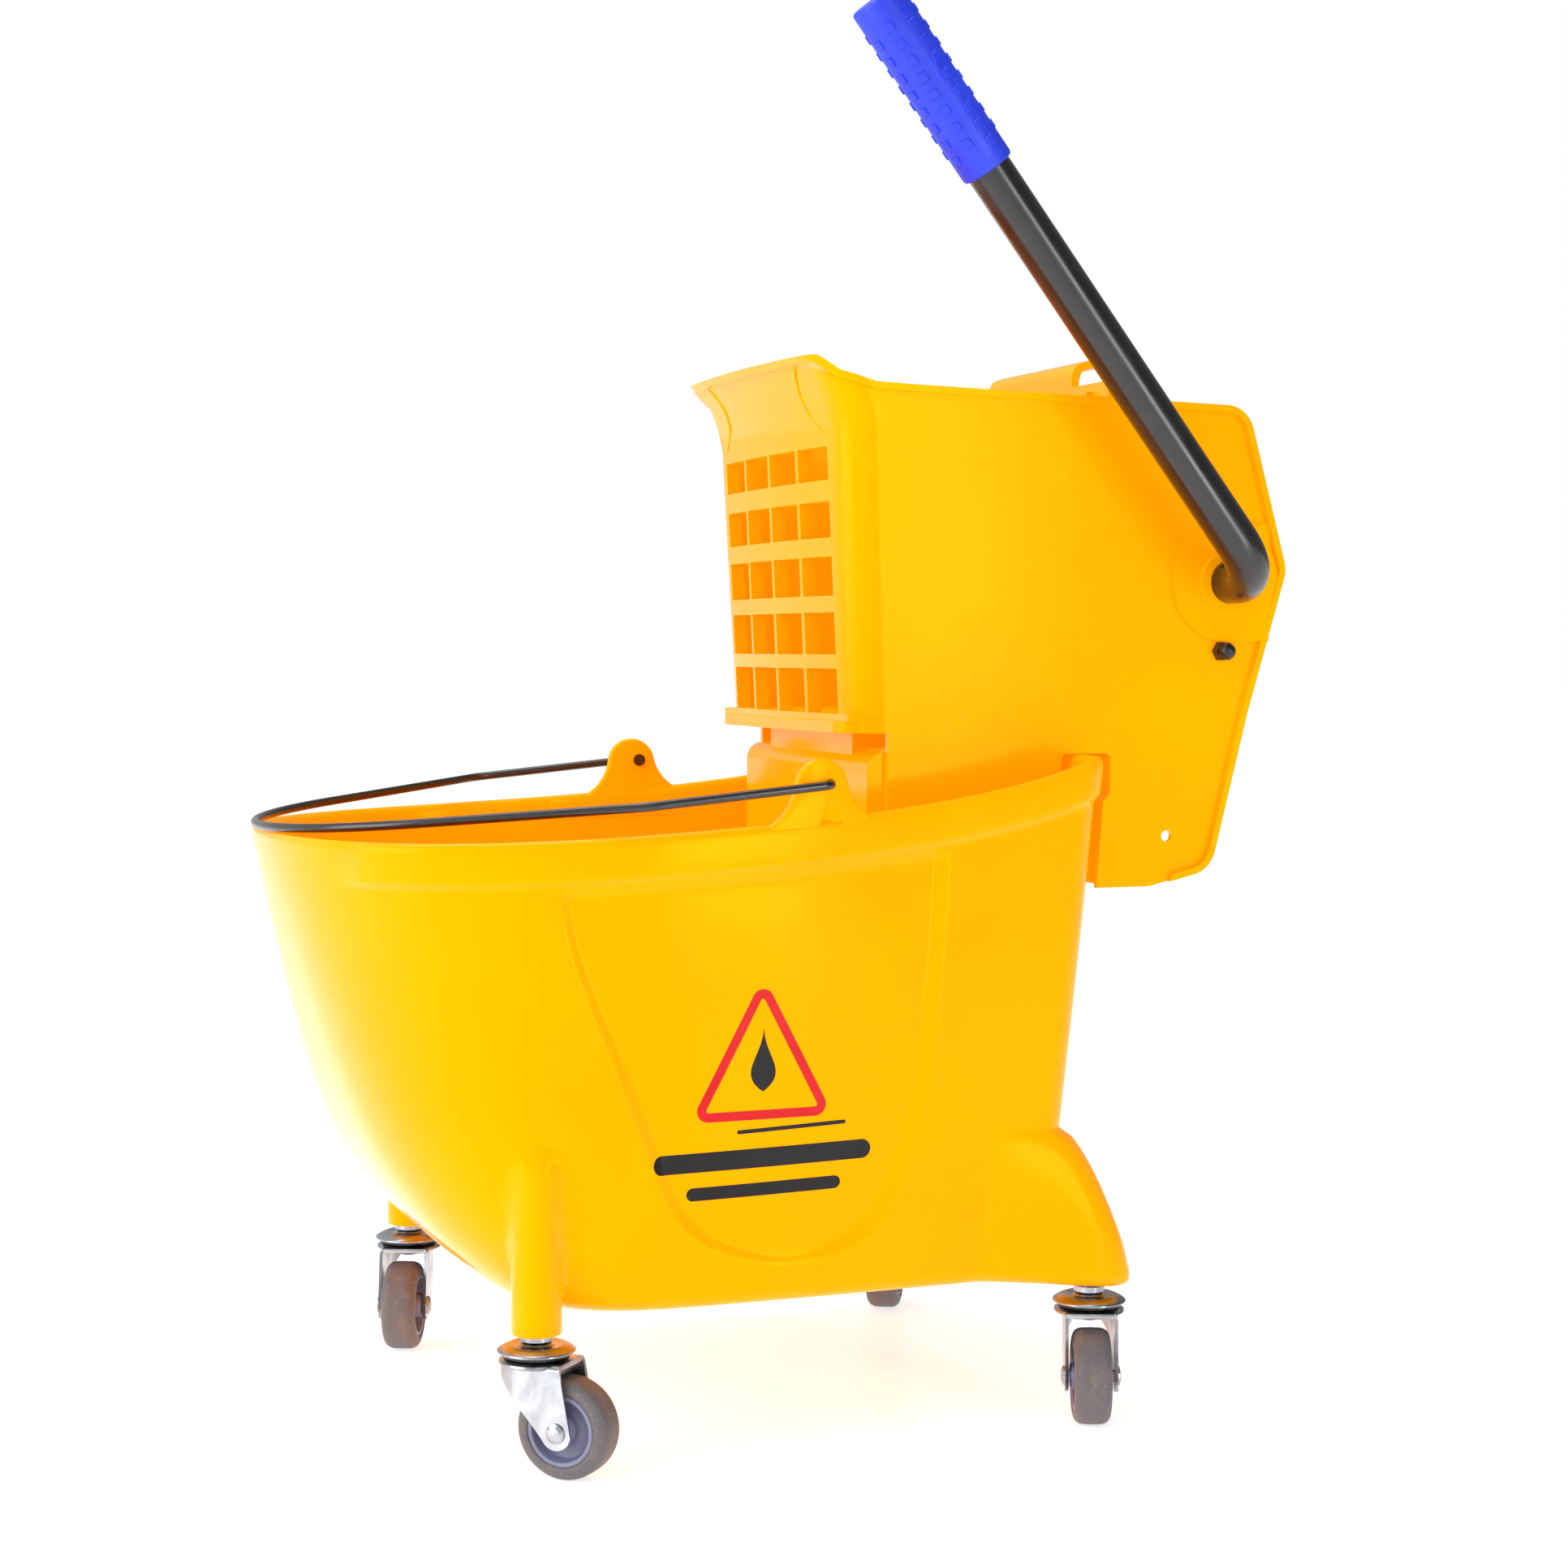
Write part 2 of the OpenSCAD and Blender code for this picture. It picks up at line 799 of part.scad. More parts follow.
module arm(side) {
    color(black_steel)
        mirror([0, side > 0 ? 0 : 1, 0])
            difference() {
                translate([shaft_x, 0, shaft_z])
                    rotate([0, -arm_lean, 0]) {
                        slab_y(arm_in, arm_in + arm_t) arm_2d();
                        slab_y(arm_in - 13, arm_in + arm_t)
                            polygon([[25.6, 6], [16.4, 89], [13.4, 89], [22.6, 6]]);
                    }
                rod_y(shaft_x, shaft_z, 70, 110, shaft_r + 0.02);
                rod_y(arm_tip.x, arm_tip.y, 90, 110, bolt_r + 0.02);
            }
}

// Lengths along Y of a bolt that passes through a link's two plates
link_out = arm_in + arm_t + link_gap + link_t;
link_in = arm_in - link_gap - link_t;

module bolt_pair(at, r) {
    for (side = [0, 1])
        mirror([0, side, 0]) {
            rod_y(at.x, at.y, link_in - 3, link_out + 3, r);
            translate([at.x, link_out + 3.6, at.y])
                rotate([90, 0, 0]) cylinder(h = 3.2, r = r + 3.4, $fn = 6);
            rod_y(at.x, at.y, link_in - 3.6, link_in - 0.4, r + 3);
        }
}

module arm_bolts() {
    color([0.12, 0.12, 0.13]) bolt_pair(arm_tip, bolt_r);
}

// ============================================================================== links
module along_link() {
    translate([arm_tip.x, 0, arm_tip.y])
        rotate([0, 180 - link_drop, 0])
            children();
}

module link(side) {
    color(black_steel)
        mirror([0, side > 0 ? 0 : 1, 0])
            difference() {
                union() {
                    for (low = [link_in, link_out - link_t])
                        along_link()
                            slab_y(low, low + link_t)
                                bar_2d([0, 0], 11, [link_length, 0], 13);
                    along_link()
                        translate([25, link_in, -11.6])
                            cube([31, link_out - link_in, link_t]);
                }
                rod_y(arm_tip.x, arm_tip.y, link_in - 5, link_out + 5, bolt_r + 0.08);
                along_link()
                    rod_y(link_length, 0, link_in - 5, link_out + 5, slot_r);
            }
}

// ============================================================================== press
module press_plate() {
    low_half = cheek_y(press_low_z) - cheek_wall - 1.6;
    high_half = cheek_y(press_high_z) - cheek_wall - 1.6;
    color(yellow) {
        translate([press_x, 0, 0])
            rotate([90, 0, 90])
                linear_extrude(press_t)
                    polygon([
                        [-low_half, press_low_z], [low_half, press_low_z],
                        [high_half, press_high_z], [-high_half, press_high_z]
                    ]);
        for (y = [-100:25:100])
            translate([press_x - 5, y - 3, press_low_z + 4]) cube([6, 6, 216]);
        for (y = [-112, -60, 60, 112])
            translate([press_x + press_t - 1, y - 2.5, press_low_z + 2]) cube([11, 5, 208]);
        for (z = [press_low_z + 1, 640])
            translate([press_x + press_t - 1, -114, z]) cube([11, 228, 5]);
        slab_y(-lip_half, lip_half)
            polygon([
                [press_x, press_high_z - 4], [press_x, 708], [press_x + 4, 716],
                [press_x + 12, lip_z - 1], [press_x + 26, lip_z], [press_x + 27, lip_z - 5],
                [press_x + 14, lip_z - 6], [press_x + 8, 711],
                [press_x + press_t, 705], [press_x + press_t, press_high_z - 4]
            ]);
    }
}

module press_bracket(side) {
    low = side > 0 ? arm_in : -arm_in - arm_t;
    plate_low = side > 0 ? 66 : -109;
    color(black_steel)
        difference() {
            union() {
                slab_y(low + 0.5, low + arm_t - 0.5)
                    bar_2d([press_x + 24, press_pivot.y], 15, press_pivot, 9);
                translate([press_x + press_t + 0.02, plate_low, press_pivot.y - 24])
                    cube([3, 43, 48]);
                translate([press_x + press_t + 0.02, low + 0.5, press_pivot.y - 15])
                    cube([24, arm_t - 1, 30]);
            }
            rod_y(press_pivot.x, press_pivot.y, low - 1, low + arm_t + 1, bolt_r + 0.02);
        }
}

module bracket_bolts() {
    color([0.12, 0.12, 0.13]) bolt_pair(press_pivot, bolt_r);
}

// The fixed leg bears on the front of the tie rod and the other pushes the right arm back
module return_spring() {
    middle = coil_r + spring_wire_r;
    leg_x = shaft_x - middle;
    leg_lean = atan((tie_x - tie_r - spring_wire_r - 0.6 - leg_x) / (shaft_z - tie_z));
    push_x = 18 + spring_wire_r + 0.6;
    push_z = 20;
    color([0.72, 0.72, 0.74]) {
        difference() {
            rod_y(shaft_x, shaft_z, coil_in, coil_out, middle + spring_wire_r);
            rod_y(shaft_x, shaft_z, coil_in - 1, coil_out + 1, coil_r);
        }
        translate([leg_x, coil_out - spring_wire_r, shaft_z])
            rotate([0, 180 - leg_lean, 0])
                cylinder(h = 92, r = spring_wire_r);
        translate([shaft_x, 0, shaft_z])
            rotate([0, -arm_lean, 0]) {
                translate([-middle, coil_in + spring_wire_r, 0])
                    rotate([0, -atan((push_x - middle) / push_z), 0])
                        cylinder(h = push_z + 1, r = spring_wire_r);
                rod_y(-push_x, push_z, arm_in - 14, coil_in + spring_wire_r, spring_wire_r);
            }
    }
}

// ============================================================================ drawing
bucket_tub();
bail_wire();
for (c = CASTERS) {
    caster_stem(c);
    caster_raceway(c);
    caster_seal(c);
    caster_fork(c);
    caster_axle(c);
    caster_wheel_core(c);
    caster_tread(c);
}
wringer_body();
bushing(-1, handle_d / 2);  // bushing_left
bushing(1, shaft_r);  // bushing_right
tie_rod();
cap_nuts();
handle_tube();
handle_grip();
cross_shaft();
shaft_pin();
arm(-1);  // arm_left
arm(1);  // arm_right
arm_bolts();
link(-1);  // link_left
link(1);  // link_right
press_plate();
press_bracket(-1);  // press_bracket_left
press_bracket(1);  // press_bracket_right
bracket_bolts();
return_spring();
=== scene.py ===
"""The looks of the mop bucket with its side-press wringer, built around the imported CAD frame."""
import json
import math

import bmesh
import bpy
import numpy as np
from mathutils import Matrix, Vector
from mathutils.bvhtree import BVHTree


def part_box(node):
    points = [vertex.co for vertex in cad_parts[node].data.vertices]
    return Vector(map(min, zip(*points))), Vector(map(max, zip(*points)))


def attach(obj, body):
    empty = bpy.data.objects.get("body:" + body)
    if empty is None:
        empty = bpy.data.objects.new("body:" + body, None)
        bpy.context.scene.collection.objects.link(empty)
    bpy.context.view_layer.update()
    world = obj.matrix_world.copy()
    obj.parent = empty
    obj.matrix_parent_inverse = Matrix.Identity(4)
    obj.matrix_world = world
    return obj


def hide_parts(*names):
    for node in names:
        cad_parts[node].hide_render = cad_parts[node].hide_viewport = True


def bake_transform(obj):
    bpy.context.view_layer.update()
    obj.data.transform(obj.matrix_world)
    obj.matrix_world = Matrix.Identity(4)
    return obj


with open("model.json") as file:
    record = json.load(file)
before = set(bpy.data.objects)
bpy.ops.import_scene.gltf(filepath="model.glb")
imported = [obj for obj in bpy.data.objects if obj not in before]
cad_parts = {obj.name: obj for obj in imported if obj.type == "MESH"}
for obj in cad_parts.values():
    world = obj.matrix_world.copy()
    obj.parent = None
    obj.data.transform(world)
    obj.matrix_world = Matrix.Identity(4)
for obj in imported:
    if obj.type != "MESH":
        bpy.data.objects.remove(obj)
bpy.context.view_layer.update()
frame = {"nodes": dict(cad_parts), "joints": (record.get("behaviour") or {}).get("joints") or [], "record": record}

MM = 0.001
NODES = frame["nodes"]
JOINTS = {j["name"]: j for j in frame["joints"]}


# ------------------------------------------------------------------ materials
class Shader:
    """A small wrapper that makes a node material read top to bottom."""

    def __init__(self, name):
        self.material = bpy.data.materials.new(name)
        self.material.use_nodes = True
        self.tree = self.material.node_tree
        self.bsdf = self.tree.nodes["Principled BSDF"]
        self.coords = self.add("ShaderNodeTexCoord").outputs["Object"]

    def add(self, kind, **inputs):
        node = self.tree.nodes.new(kind)
        for key, value in inputs.items():
            self.put(node, key, value)
        return node

    def put(self, node, key, value):
        socket = node.inputs[int(key[1:])] if key[0] == "_" else node.inputs[key]
        if isinstance(value, bpy.types.NodeSocket):
            self.tree.links.new(value, socket)
        else:
            socket.default_value = value

    def set(self, **values):
        for key, value in values.items():
            self.put(self.bsdf, key.replace("_", " "), value)

    def noise(self, scale, detail=3.0, stretch=(1, 1, 1), seed=0.0, distortion=0.0):
        mapping = self.add("ShaderNodeMapping", Vector=self.coords, Scale=stretch)
        mapping.inputs["Location"].default_value = (seed, seed * 0.7, seed * 1.3)
        node = self.add("ShaderNodeTexNoise", Vector=mapping.outputs[0], Scale=scale,
                        Detail=detail, Distortion=distortion)
        return node.outputs["Fac"]

    def ramp(self, value, low, high, out_low=0.0, out_high=1.0):
        node = self.add("ShaderNodeMapRange", Value=value)
        for key, number in zip(("From Min", "From Max", "To Min", "To Max"),
                               (low, high, out_low, out_high)):
            node.inputs[key].default_value = number
        return node.outputs[0]

    def mix(self, factor, a, b):
        node = self.tree.nodes.new("ShaderNodeMix")
        node.data_type = "RGBA"
        for index, value in ((0, factor), (6, a), (7, b)):
            self.put(node, f"_{index}", value)
        return node.outputs[2]

    def bump(self, height, distance, strength=1.0, under=None):
        node = self.add("ShaderNodeBump", Height=height, Distance=distance, Strength=strength)
        if under is not None:
            self.tree.links.new(under, node.inputs["Normal"])
        return node.outputs[0]


def rgb(r, g, b):
    """A display colour, 0-255, as linear light."""
    def linear(v):
        v /= 255
        return v / 12.92 if v <= 0.04045 else ((v + 0.055) / 1.055) ** 2.4
    return (linear(r), linear(g), linear(b), 1.0)


def yellow_plastic():
    s = Shader("yellow_plastic")
    cloud = s.noise(5.0, 2.0, seed=3.1)
    s.set(Base_Color=s.mix(s.ramp(cloud, 0.35, 0.65), rgb(255, 145, 0), rgb(255, 152, 0)))
    s.set(Subsurface_Weight=0.1, Subsurface_Radius=(1.0, 0.5, 0.02), Subsurface_Scale=0.004)
    s.set(Specular_Tint=rgb(255, 214, 30), IOR=1.36)
    # painted light: the plastic glows faintly yellow, which lifts its shaded faces and the tub's inside
    s.set(Emission_Color=rgb(255, 190, 0), Emission_Strength=0.24)
    s.set(Roughness=s.ramp(s.noise(38.0, 4.0, seed=7.7), 0.3, 0.7, 0.11, 0.17))
    grain = s.bump(s.noise(900.0, 2.0), 0.00003, 0.5)
    s.set(Normal=s.bump(s.noise(14.0, 1.5, seed=1.4), 0.0004, 0.25, under=grain))
    return s.material


def black_steel():
    s = Shader("black_steel")
    wear = s.noise(60.0, 5.0, seed=2.2)
    s.set(Base_Color=s.mix(s.ramp(wear, 0.55, 0.8), rgb(13, 12, 14), rgb(34, 32, 33)))
    s.set(Roughness=s.ramp(s.noise(24.0, 4.0), 0.3, 0.7, 0.2, 0.34))
    s.set(Coat_Weight=0.35, Coat_Roughness=0.12)
    s.set(Normal=s.bump(s.noise(700.0, 2.0), 0.00006, 0.5))
    return s.material


def zinc():
    s = Shader("zinc_plate")
    cloud = s.noise(45.0, 4.0, seed=5.0, distortion=0.6)
    warm = s.mix(s.ramp(cloud, 0.35, 0.7), rgb(176, 182, 190), rgb(140, 143, 146))
    s.set(Base_Color=warm, Metallic=1.0)
    s.set(Roughness=s.ramp(s.noise(160.0, 4.0, stretch=(1, 1, 0.25)), 0.3, 0.7, 0.16, 0.34))
    s.set(Normal=s.bump(s.noise(260.0, 3.0, stretch=(1, 1, 0.2)), 0.00005, 0.2))
    return s.material


def tread_rubber():
    s = Shader("tread_rubber")
    dust = s.ramp(s.noise(90.0, 6.0, seed=4.0), 0.52, 0.7)
    specks = s.ramp(s.noise(900.0, 1.0, seed=9.0), 0.72, 0.76)
    base = s.mix(dust, rgb(92, 88, 91), rgb(112, 101, 94))
    s.set(Base_Color=s.mix(specks, base, rgb(176, 160, 140)))
    s.set(Roughness=s.ramp(dust, 0, 1, 0.5, 0.75))
    s.set(Normal=s.bump(s.noise(520.0, 3.0), 0.00012, 0.6))
    return s.material


def grey_core():
    s = Shader("grey_core")
    cloud = s.ramp(s.noise(30.0), 0.3, 0.7)
    s.set(Base_Color=s.mix(cloud, rgb(112, 114, 142), rgb(126, 128, 156)))
    s.set(Roughness=s.ramp(s.noise(80.0), 0.3, 0.7, 0.34, 0.48))
    s.set(Normal=s.bump(s.noise(400.0), 0.00006, 0.5))
    return s.material


def black_plastic():
    s = Shader("black_plastic")
    s.set(Base_Color=s.mix(s.ramp(s.noise(50.0), 0.4, 0.7), rgb(14, 14, 14), rgb(26, 26, 27)))
    s.set(Roughness=s.ramp(s.noise(90.0, seed=2.0), 0.3, 0.7, 0.28, 0.42))
    s.set(Normal=s.bump(s.noise(600.0), 0.00005, 0.5))
    return s.material


def blue_rubber():
    s = Shader("blue_rubber")
    cloud = s.ramp(s.noise(22.0, 4.0), 0.3, 0.7)
    s.set(Base_Color=s.mix(cloud, rgb(16, 44, 196), rgb(22, 56, 214)))
    s.set(Roughness=s.ramp(s.noise(140.0, 4.0), 0.3, 0.7, 0.4, 0.55))
    s.set(Normal=s.bump(s.noise(900.0, 2.0), 0.00007, 0.6))
    return s.material


def printed(name, colour):
    s = Shader(name)
    fade = s.ramp(s.noise(55.0, 4.0), 0.35, 0.75)
    s.set(Base_Color=s.mix(fade, rgb(*colour), rgb(*(min(255, c + 10) for c in colour))))
    s.set(Specular_IOR_Level=0.25)
    s.set(Roughness=s.ramp(s.noise(70.0), 0.3, 0.7, 0.3, 0.42))
    s.set(Normal=s.bump(s.noise(500.0), 0.00004, 0.4))
    return s.material


MATERIALS = {
    "yellow_plastic": yellow_plastic(),
    "black_steel": black_steel(),
    "zinc_plated": zinc(),
    "black_plastic": black_plastic(),
    "grey_plastic": grey_core(),
    "grey_tread": tread_rubber(),
    "blue_rubber": blue_rubber(),
    "spring_steel": zinc(),
}
SLOT_OF = {p["node"]: p["material_slot"] for p in frame["record"]["subparts"]}


# ------------------------------------------------------------------ mesh tools
FLAT_DEGREES = 0.5    # CAD facets that meet at less than this lie in one plane


def dress(obj, slot, body, *nodes):
    """Gives a new piece its material, its body and the CAD nodes that it stands for."""
    obj.data.materials.clear()
    obj.data.materials.append(MATERIALS[slot])
    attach(obj, body)
    if nodes:
        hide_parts(*nodes)
    return obj


def add_mesh(name, points, faces, smooth=True):
    mesh = bpy.data.meshes.new(name)
    mesh.from_pydata([tuple(p) for p in points], [], [tuple(f) for f in faces])
    mesh.validate()
    obj = bpy.data.objects.new(name, mesh)
    bpy.context.scene.collection.objects.link(obj)
    if smooth:
        mesh.shade_smooth()
    return obj


def apply_modifiers(obj):
    graph = bpy.context.evaluated_depsgraph_get()
    mesh = bpy.data.meshes.new_from_object(obj.evaluated_get(graph))
    obj.modifiers.clear()
    obj.data = mesh
    return obj


def smooth_by_angle(obj, degrees=35):
    bm = bmesh.new()
    bm.from_mesh(obj.data)
    limit = math.radians(degrees)
    for f in bm.faces:
        f.smooth = True
    for e in bm.edges:
        e.smooth = len(e.link_faces) == 2 and e.calc_face_angle(0) < limit
    bm.to_mesh(obj.data)
    bm.free()
    return obj


def bevelled_copy(node, width, angle=32):
    """A CAD node's mesh with its flat faces joined up and its edges rounded, as a new piece."""
    mesh = NODES[node].data.copy()
    obj = bpy.data.objects.new(node + "_finished", mesh)
    bpy.context.scene.collection.objects.link(obj)
    bm = bmesh.new()
    bm.from_mesh(mesh)
    bmesh.ops.remove_doubles(bm, verts=bm.verts, dist=2e-6)
    bmesh.ops.dissolve_limit(bm, angle_limit=math.radians(FLAT_DEGREES),
                             verts=bm.verts, edges=bm.edges)
    bm.to_mesh(mesh)
    bm.free()
    bevel = obj.modifiers.new("round", "BEVEL")
    bevel.width = width
    bevel.segments = 3
    bevel.limit_method = "ANGLE"
    bevel.angle_limit = math.radians(angle)
    apply_modifiers(obj)
    smooth_by_angle(obj, 50)
    flatten = obj.modifiers.new("flatten", "WEIGHTED_NORMAL")
    flatten.keep_sharp = True
    return apply_modifiers(obj)


# ------------------------------------------------------------------ shared shapes, in millimetres
def ease(a, b, v):
    """0 at a, 1 at b, with a smooth start and end."""
    t = np.clip((v - a) / (b - a), 0, 1)
    return t * t * (3 - 2 * t)


def spread_along(points, count):
    """The same open curve with its points spaced evenly."""
    points = np.asarray(points, float)
    run = np.r_[0, np.cumsum(np.linalg.norm(np.diff(points, axis=0), axis=1))]
    at = np.linspace(0, run[-1], count)
    return np.column_stack([np.interp(at, run, column) for column in points.T])


def smooth_closed(points, rounds=3):
    """A closed outline with its corners cut back to a curve."""
    points = np.asarray(points, float)
    for _ in range(rounds):
        after = np.roll(points, -1, axis=0)
        points = np.stack((0.75 * points + 0.25 * after, 0.25 * points + 0.75 * after), 1)
        points = points.reshape(-1, 2)
    return points


def smooth_open(points, rounds=3):
    """An open curve with its corners cut back and its ends kept."""
    points = np.asarray(points, float)
    for _ in range(rounds):
        a, b = points[:-1], points[1:]
        inner = np.stack((0.75 * a + 0.25 * b, 0.25 * a + 0.75 * b), 1)
        inner = inner.reshape(-1, points.shape[1])
        points = np.vstack((points[:1], inner[1:-1], points[-1:]))
    return points


def outline_distance(points, outline):
    """Distance to a closed outline, positive inside it."""
    best = np.full(len(points), np.inf)
    inside = np.zeros(len(points), bool)
    for a, b in zip(outline, np.roll(outline, -1, axis=0)):
        edge = b - a
        t = np.clip(((points - a) @ edge) / (edge @ edge), 0, 1)
        best = np.minimum(best, np.linalg.norm(points - a - t[:, None] * edge, axis=1))
        crosses = (a[1] > points[:, 1]) != (b[1] > points[:, 1])
        if edge[1]:
            inside ^= crosses & (points[:, 0] < a[0] + (points[:, 1] - a[1]) / edge[1] * edge[0])
    return np.where(inside, best, -best)


def arc(centre, r, start, end, count):
    """Points on an arc, with its angles in degrees."""
    a = np.radians(np.linspace(start, end, count))
    return np.column_stack((centre[0] + r * np.cos(a), centre[1] + r * np.sin(a)))


def grid_faces(rows, columns, wrap=False):
    last = columns if wrap else columns - 1
    return [(i * columns + j, i * columns + (j + 1) % columns,
             (i + 1) * columns + (j + 1) % columns, (i + 1) * columns + j)
            for i in range(rows - 1) for j in range(last)]


def sheet_faces(rows, columns):
    """A closed thin sheet: a grid, the same grid behind it, and the edge that joins them."""
    n = rows * columns
    faces = grid_faces(rows, columns)
    faces += [tuple(k + n for k in face[::-1]) for face in grid_faces(rows, columns)]
    rim = list(range(columns)) + [i * columns + columns - 1 for i in range(1, rows)]
    rim += [(rows - 1) * columns + j for j in range(columns - 2, -1, -1)]
    rim += [i * columns for i in range(rows - 2, 0, -1)]
    return faces + [(a, b, b + n, a + n) for a, b in zip(rim, rim[1:] + rim[:1])]


def lathe(name, profile, spin=96):
    """A ring turned about Z from a closed profile of (radius, height) points."""
    profile = np.asarray(profile, float)
    profile = np.vstack((profile, profile[:1]))
    turn = np.linspace(0, 2 * math.pi, spin, endpoint=False)
    points = np.stack((profile[:, :1] * np.cos(turn), profile[:, :1] * np.sin(turn),
                       np.repeat(profile[:, 1:], spin, axis=1)), 2).reshape(-1, 3)
    obj = add_mesh(name, points * MM, grid_faces(len(profile), spin, wrap=True))
    return weld(obj)


def weld(obj, distance=1e-6):
    """Joins points that coincide and turns every face outwards."""
    bm = bmesh.new()
    bm.from_mesh(obj.data)
    bmesh.ops.remove_doubles(bm, verts=bm.verts, dist=distance)
    bmesh.ops.dissolve_degenerate(bm, edges=bm.edges, dist=distance)
    bmesh.ops.recalc_face_normals(bm, faces=bm.faces)
    bm.to_mesh(obj.data)
    bm.free()
    return obj


def tube(name, path, r, sides=12):
    """A round bar of radius r, or one radius per point, along a path in millimetres."""
    path = np.asarray(path, float)
    radii = np.broadcast_to(r, len(path))
    along = np.gradient(path, axis=0)
    along /= np.linalg.norm(along, axis=1)[:, None]
    side = np.cross(along[0], (0.3, 0.8, 0.51))
    rings = []
    for point, ahead, radius in zip(path, along, radii):
        side = side - ahead * (side @ ahead)
        side /= np.linalg.norm(side)
        other = np.cross(ahead, side)
        a = np.linspace(0, 2 * math.pi, sides, endpoint=False)[:, None]
        rings.append(point + radius * (np.cos(a) * side + np.sin(a) * other))
    faces = grid_faces(len(path), sides, wrap=True)
    faces += [tuple(range(sides))[::-1],
              tuple(range((len(path) - 1) * sides, len(path) * sides))]
    return weld(add_mesh(name, np.vstack(rings) * MM, faces))


def place(obj, matrix):
    """Moves a new piece's mesh, so that its object stays at the origin."""
    obj.data.transform(matrix)
    obj.data.update()
    return obj


def join(name, pieces):
    """Several new meshes as one piece."""
    bm = bmesh.new()
    for piece in pieces:
        bm.from_mesh(piece.data)
        bpy.data.objects.remove(piece)
    mesh = bpy.data.meshes.new(name)
    bm.to_mesh(mesh)
    bm.free()
    obj = bpy.data.objects.new(name, mesh)
    bpy.context.scene.collection.objects.link(obj)
    mesh.shade_smooth()
    return obj


def plate(name, outline, low, high, r, steps=5):
    """An outline in XZ given thickness from y = low to y = high, with rounded edges."""
    outline = np.asarray(outline, float)
    ahead = np.roll(outline, -1, axis=0) - np.roll(outline, 1, axis=0)
    inward = np.column_stack((-ahead[:, 1], ahead[:, 0]))
    inward /= np.linalg.norm(inward, axis=1)[:, None]
    if outline_distance(outline[:1] + inward[:1] * 0.2, outline)[0] < 0:
        inward = -inward
    a = np.radians(np.linspace(0, 90, steps))
    profile = [(r * (1 - math.sin(t)), low + r * (1 - math.cos(t))) for t in a]
    profile += [(r * (1 - math.sin(t)), high - r * (1 - math.cos(t))) for t in a[::-1]]
    rings = []
    for inset, y in profile:
        ring = outline + inward * inset
        rings.append(np.column_stack((ring[:, 0], np.full(len(ring), y), ring[:, 1])))
    n = len(outline)
    faces = grid_faces(len(rings), n, wrap=True)
    faces += [tuple(range(n))[::-1], tuple(range((len(rings) - 1) * n, len(rings) * n))]
    return weld(add_mesh(name, np.vstack(rings) * MM, faces))


def cut(obj, cutter):
    """Takes one closed mesh away from another."""
    boolean = obj.modifiers.new("cut", "BOOLEAN")
    boolean.object = cutter
    boolean.solver = "EXACT"
    apply_modifiers(obj)
    bpy.data.objects.remove(cutter)
    return obj


# ------------------------------------------------------------------ tub, in millimetres
# The same curves as the CAD tub: s runs from 0 at the underside to 1 at the rim
BOW_RIM_X, RIM_RUN, BOW_RIM_Z, RIM_RISE = -354, 534, 395, 49
TUB_FLOOR_Z, FOOT_Z, FOOT_TOP_Z = 96, 88, 196
FOOT_BACK, FOOT_SIDE = 64, 20
CORNER_R, STERN_BULGE, WALL = 22, 12, 4.4
BAND_START = (-320, -304)
POST_R, POST_TOP_Z, POST_BLEND, POST_REACH, STEM_R = 16, 190, 7, 55, 5.6
NOSE_POINTS, SIDE_POINTS = 120, 132
EAR_X, EAR_TOP_X, EAR_Z, EAR_R, EAR_Y, EAR_T = -22, -27, 430, 18, 204.5, 7
RECESS_DEPTH, RECESS_EDGE = 3.6, 9
RECESS = [(-197, 384), (-192, 338), (-177, 297), (-161, 261), (-140, 209), (-124, 167),
          (-102, 140), (-53, 123), (-9, 128), (20, 147), (36, 188), (48, 224), (56, 287),
          (61, 356), (63, 398)]


def rim_z(x):
    t = np.clip((x - BOW_RIM_X) / RIM_RUN, 0, 1)
    return BOW_RIM_Z + RIM_RISE * (0.68 * t ** 2 + 0.32 * t ** 8)


def tub_half(s, o):
    """The outline at level s from the bow round to the stern, offset outwards by o."""
    bow = -347 + 78 * (1 - s) ** 1.1 + 62 * (1 - s) ** 6
    stern, shoulder, beam = 147 + 42 * s, -147 + 90 * (1 - s), 184 + 22 * s ** 0.6
    share, power = 0.97 - 0.115 * s, 2 / (2.4 + 2.1 * (1 - s) ** 1.5)
    r = CORNER_R + o
    back = stern + o - r

    def side(x):
        run = np.maximum(0, x - shoulder) / (stern - shoulder)
        return (beam + o) * (1 - (1 - share) * run ** 1.5)

    a = ease(0, 1, np.linspace(0, 1, 500)) * math.pi / 2
    nose = np.column_stack((shoulder - (shoulder - bow + o) * np.abs(np.cos(a)) ** power,
                            (beam + o) * np.sin(a) ** power))
    xs = np.linspace(shoulder, back, 60)
    yc = side(back) - r
    ys = np.linspace(yc, 0, 34)
    tail = np.column_stack((back + r + STERN_BULGE * (1 - (ys / yc) ** 2), ys))
    return np.vstack((
        spread_along(nose, NOSE_POINTS),
        spread_along(np.column_stack((xs, side(xs))), SIDE_POINTS)[1:],
        arc((back, yc), r, 90, 0, 12)[1:],
        spread_along(tail, 34)[1:],
    ))


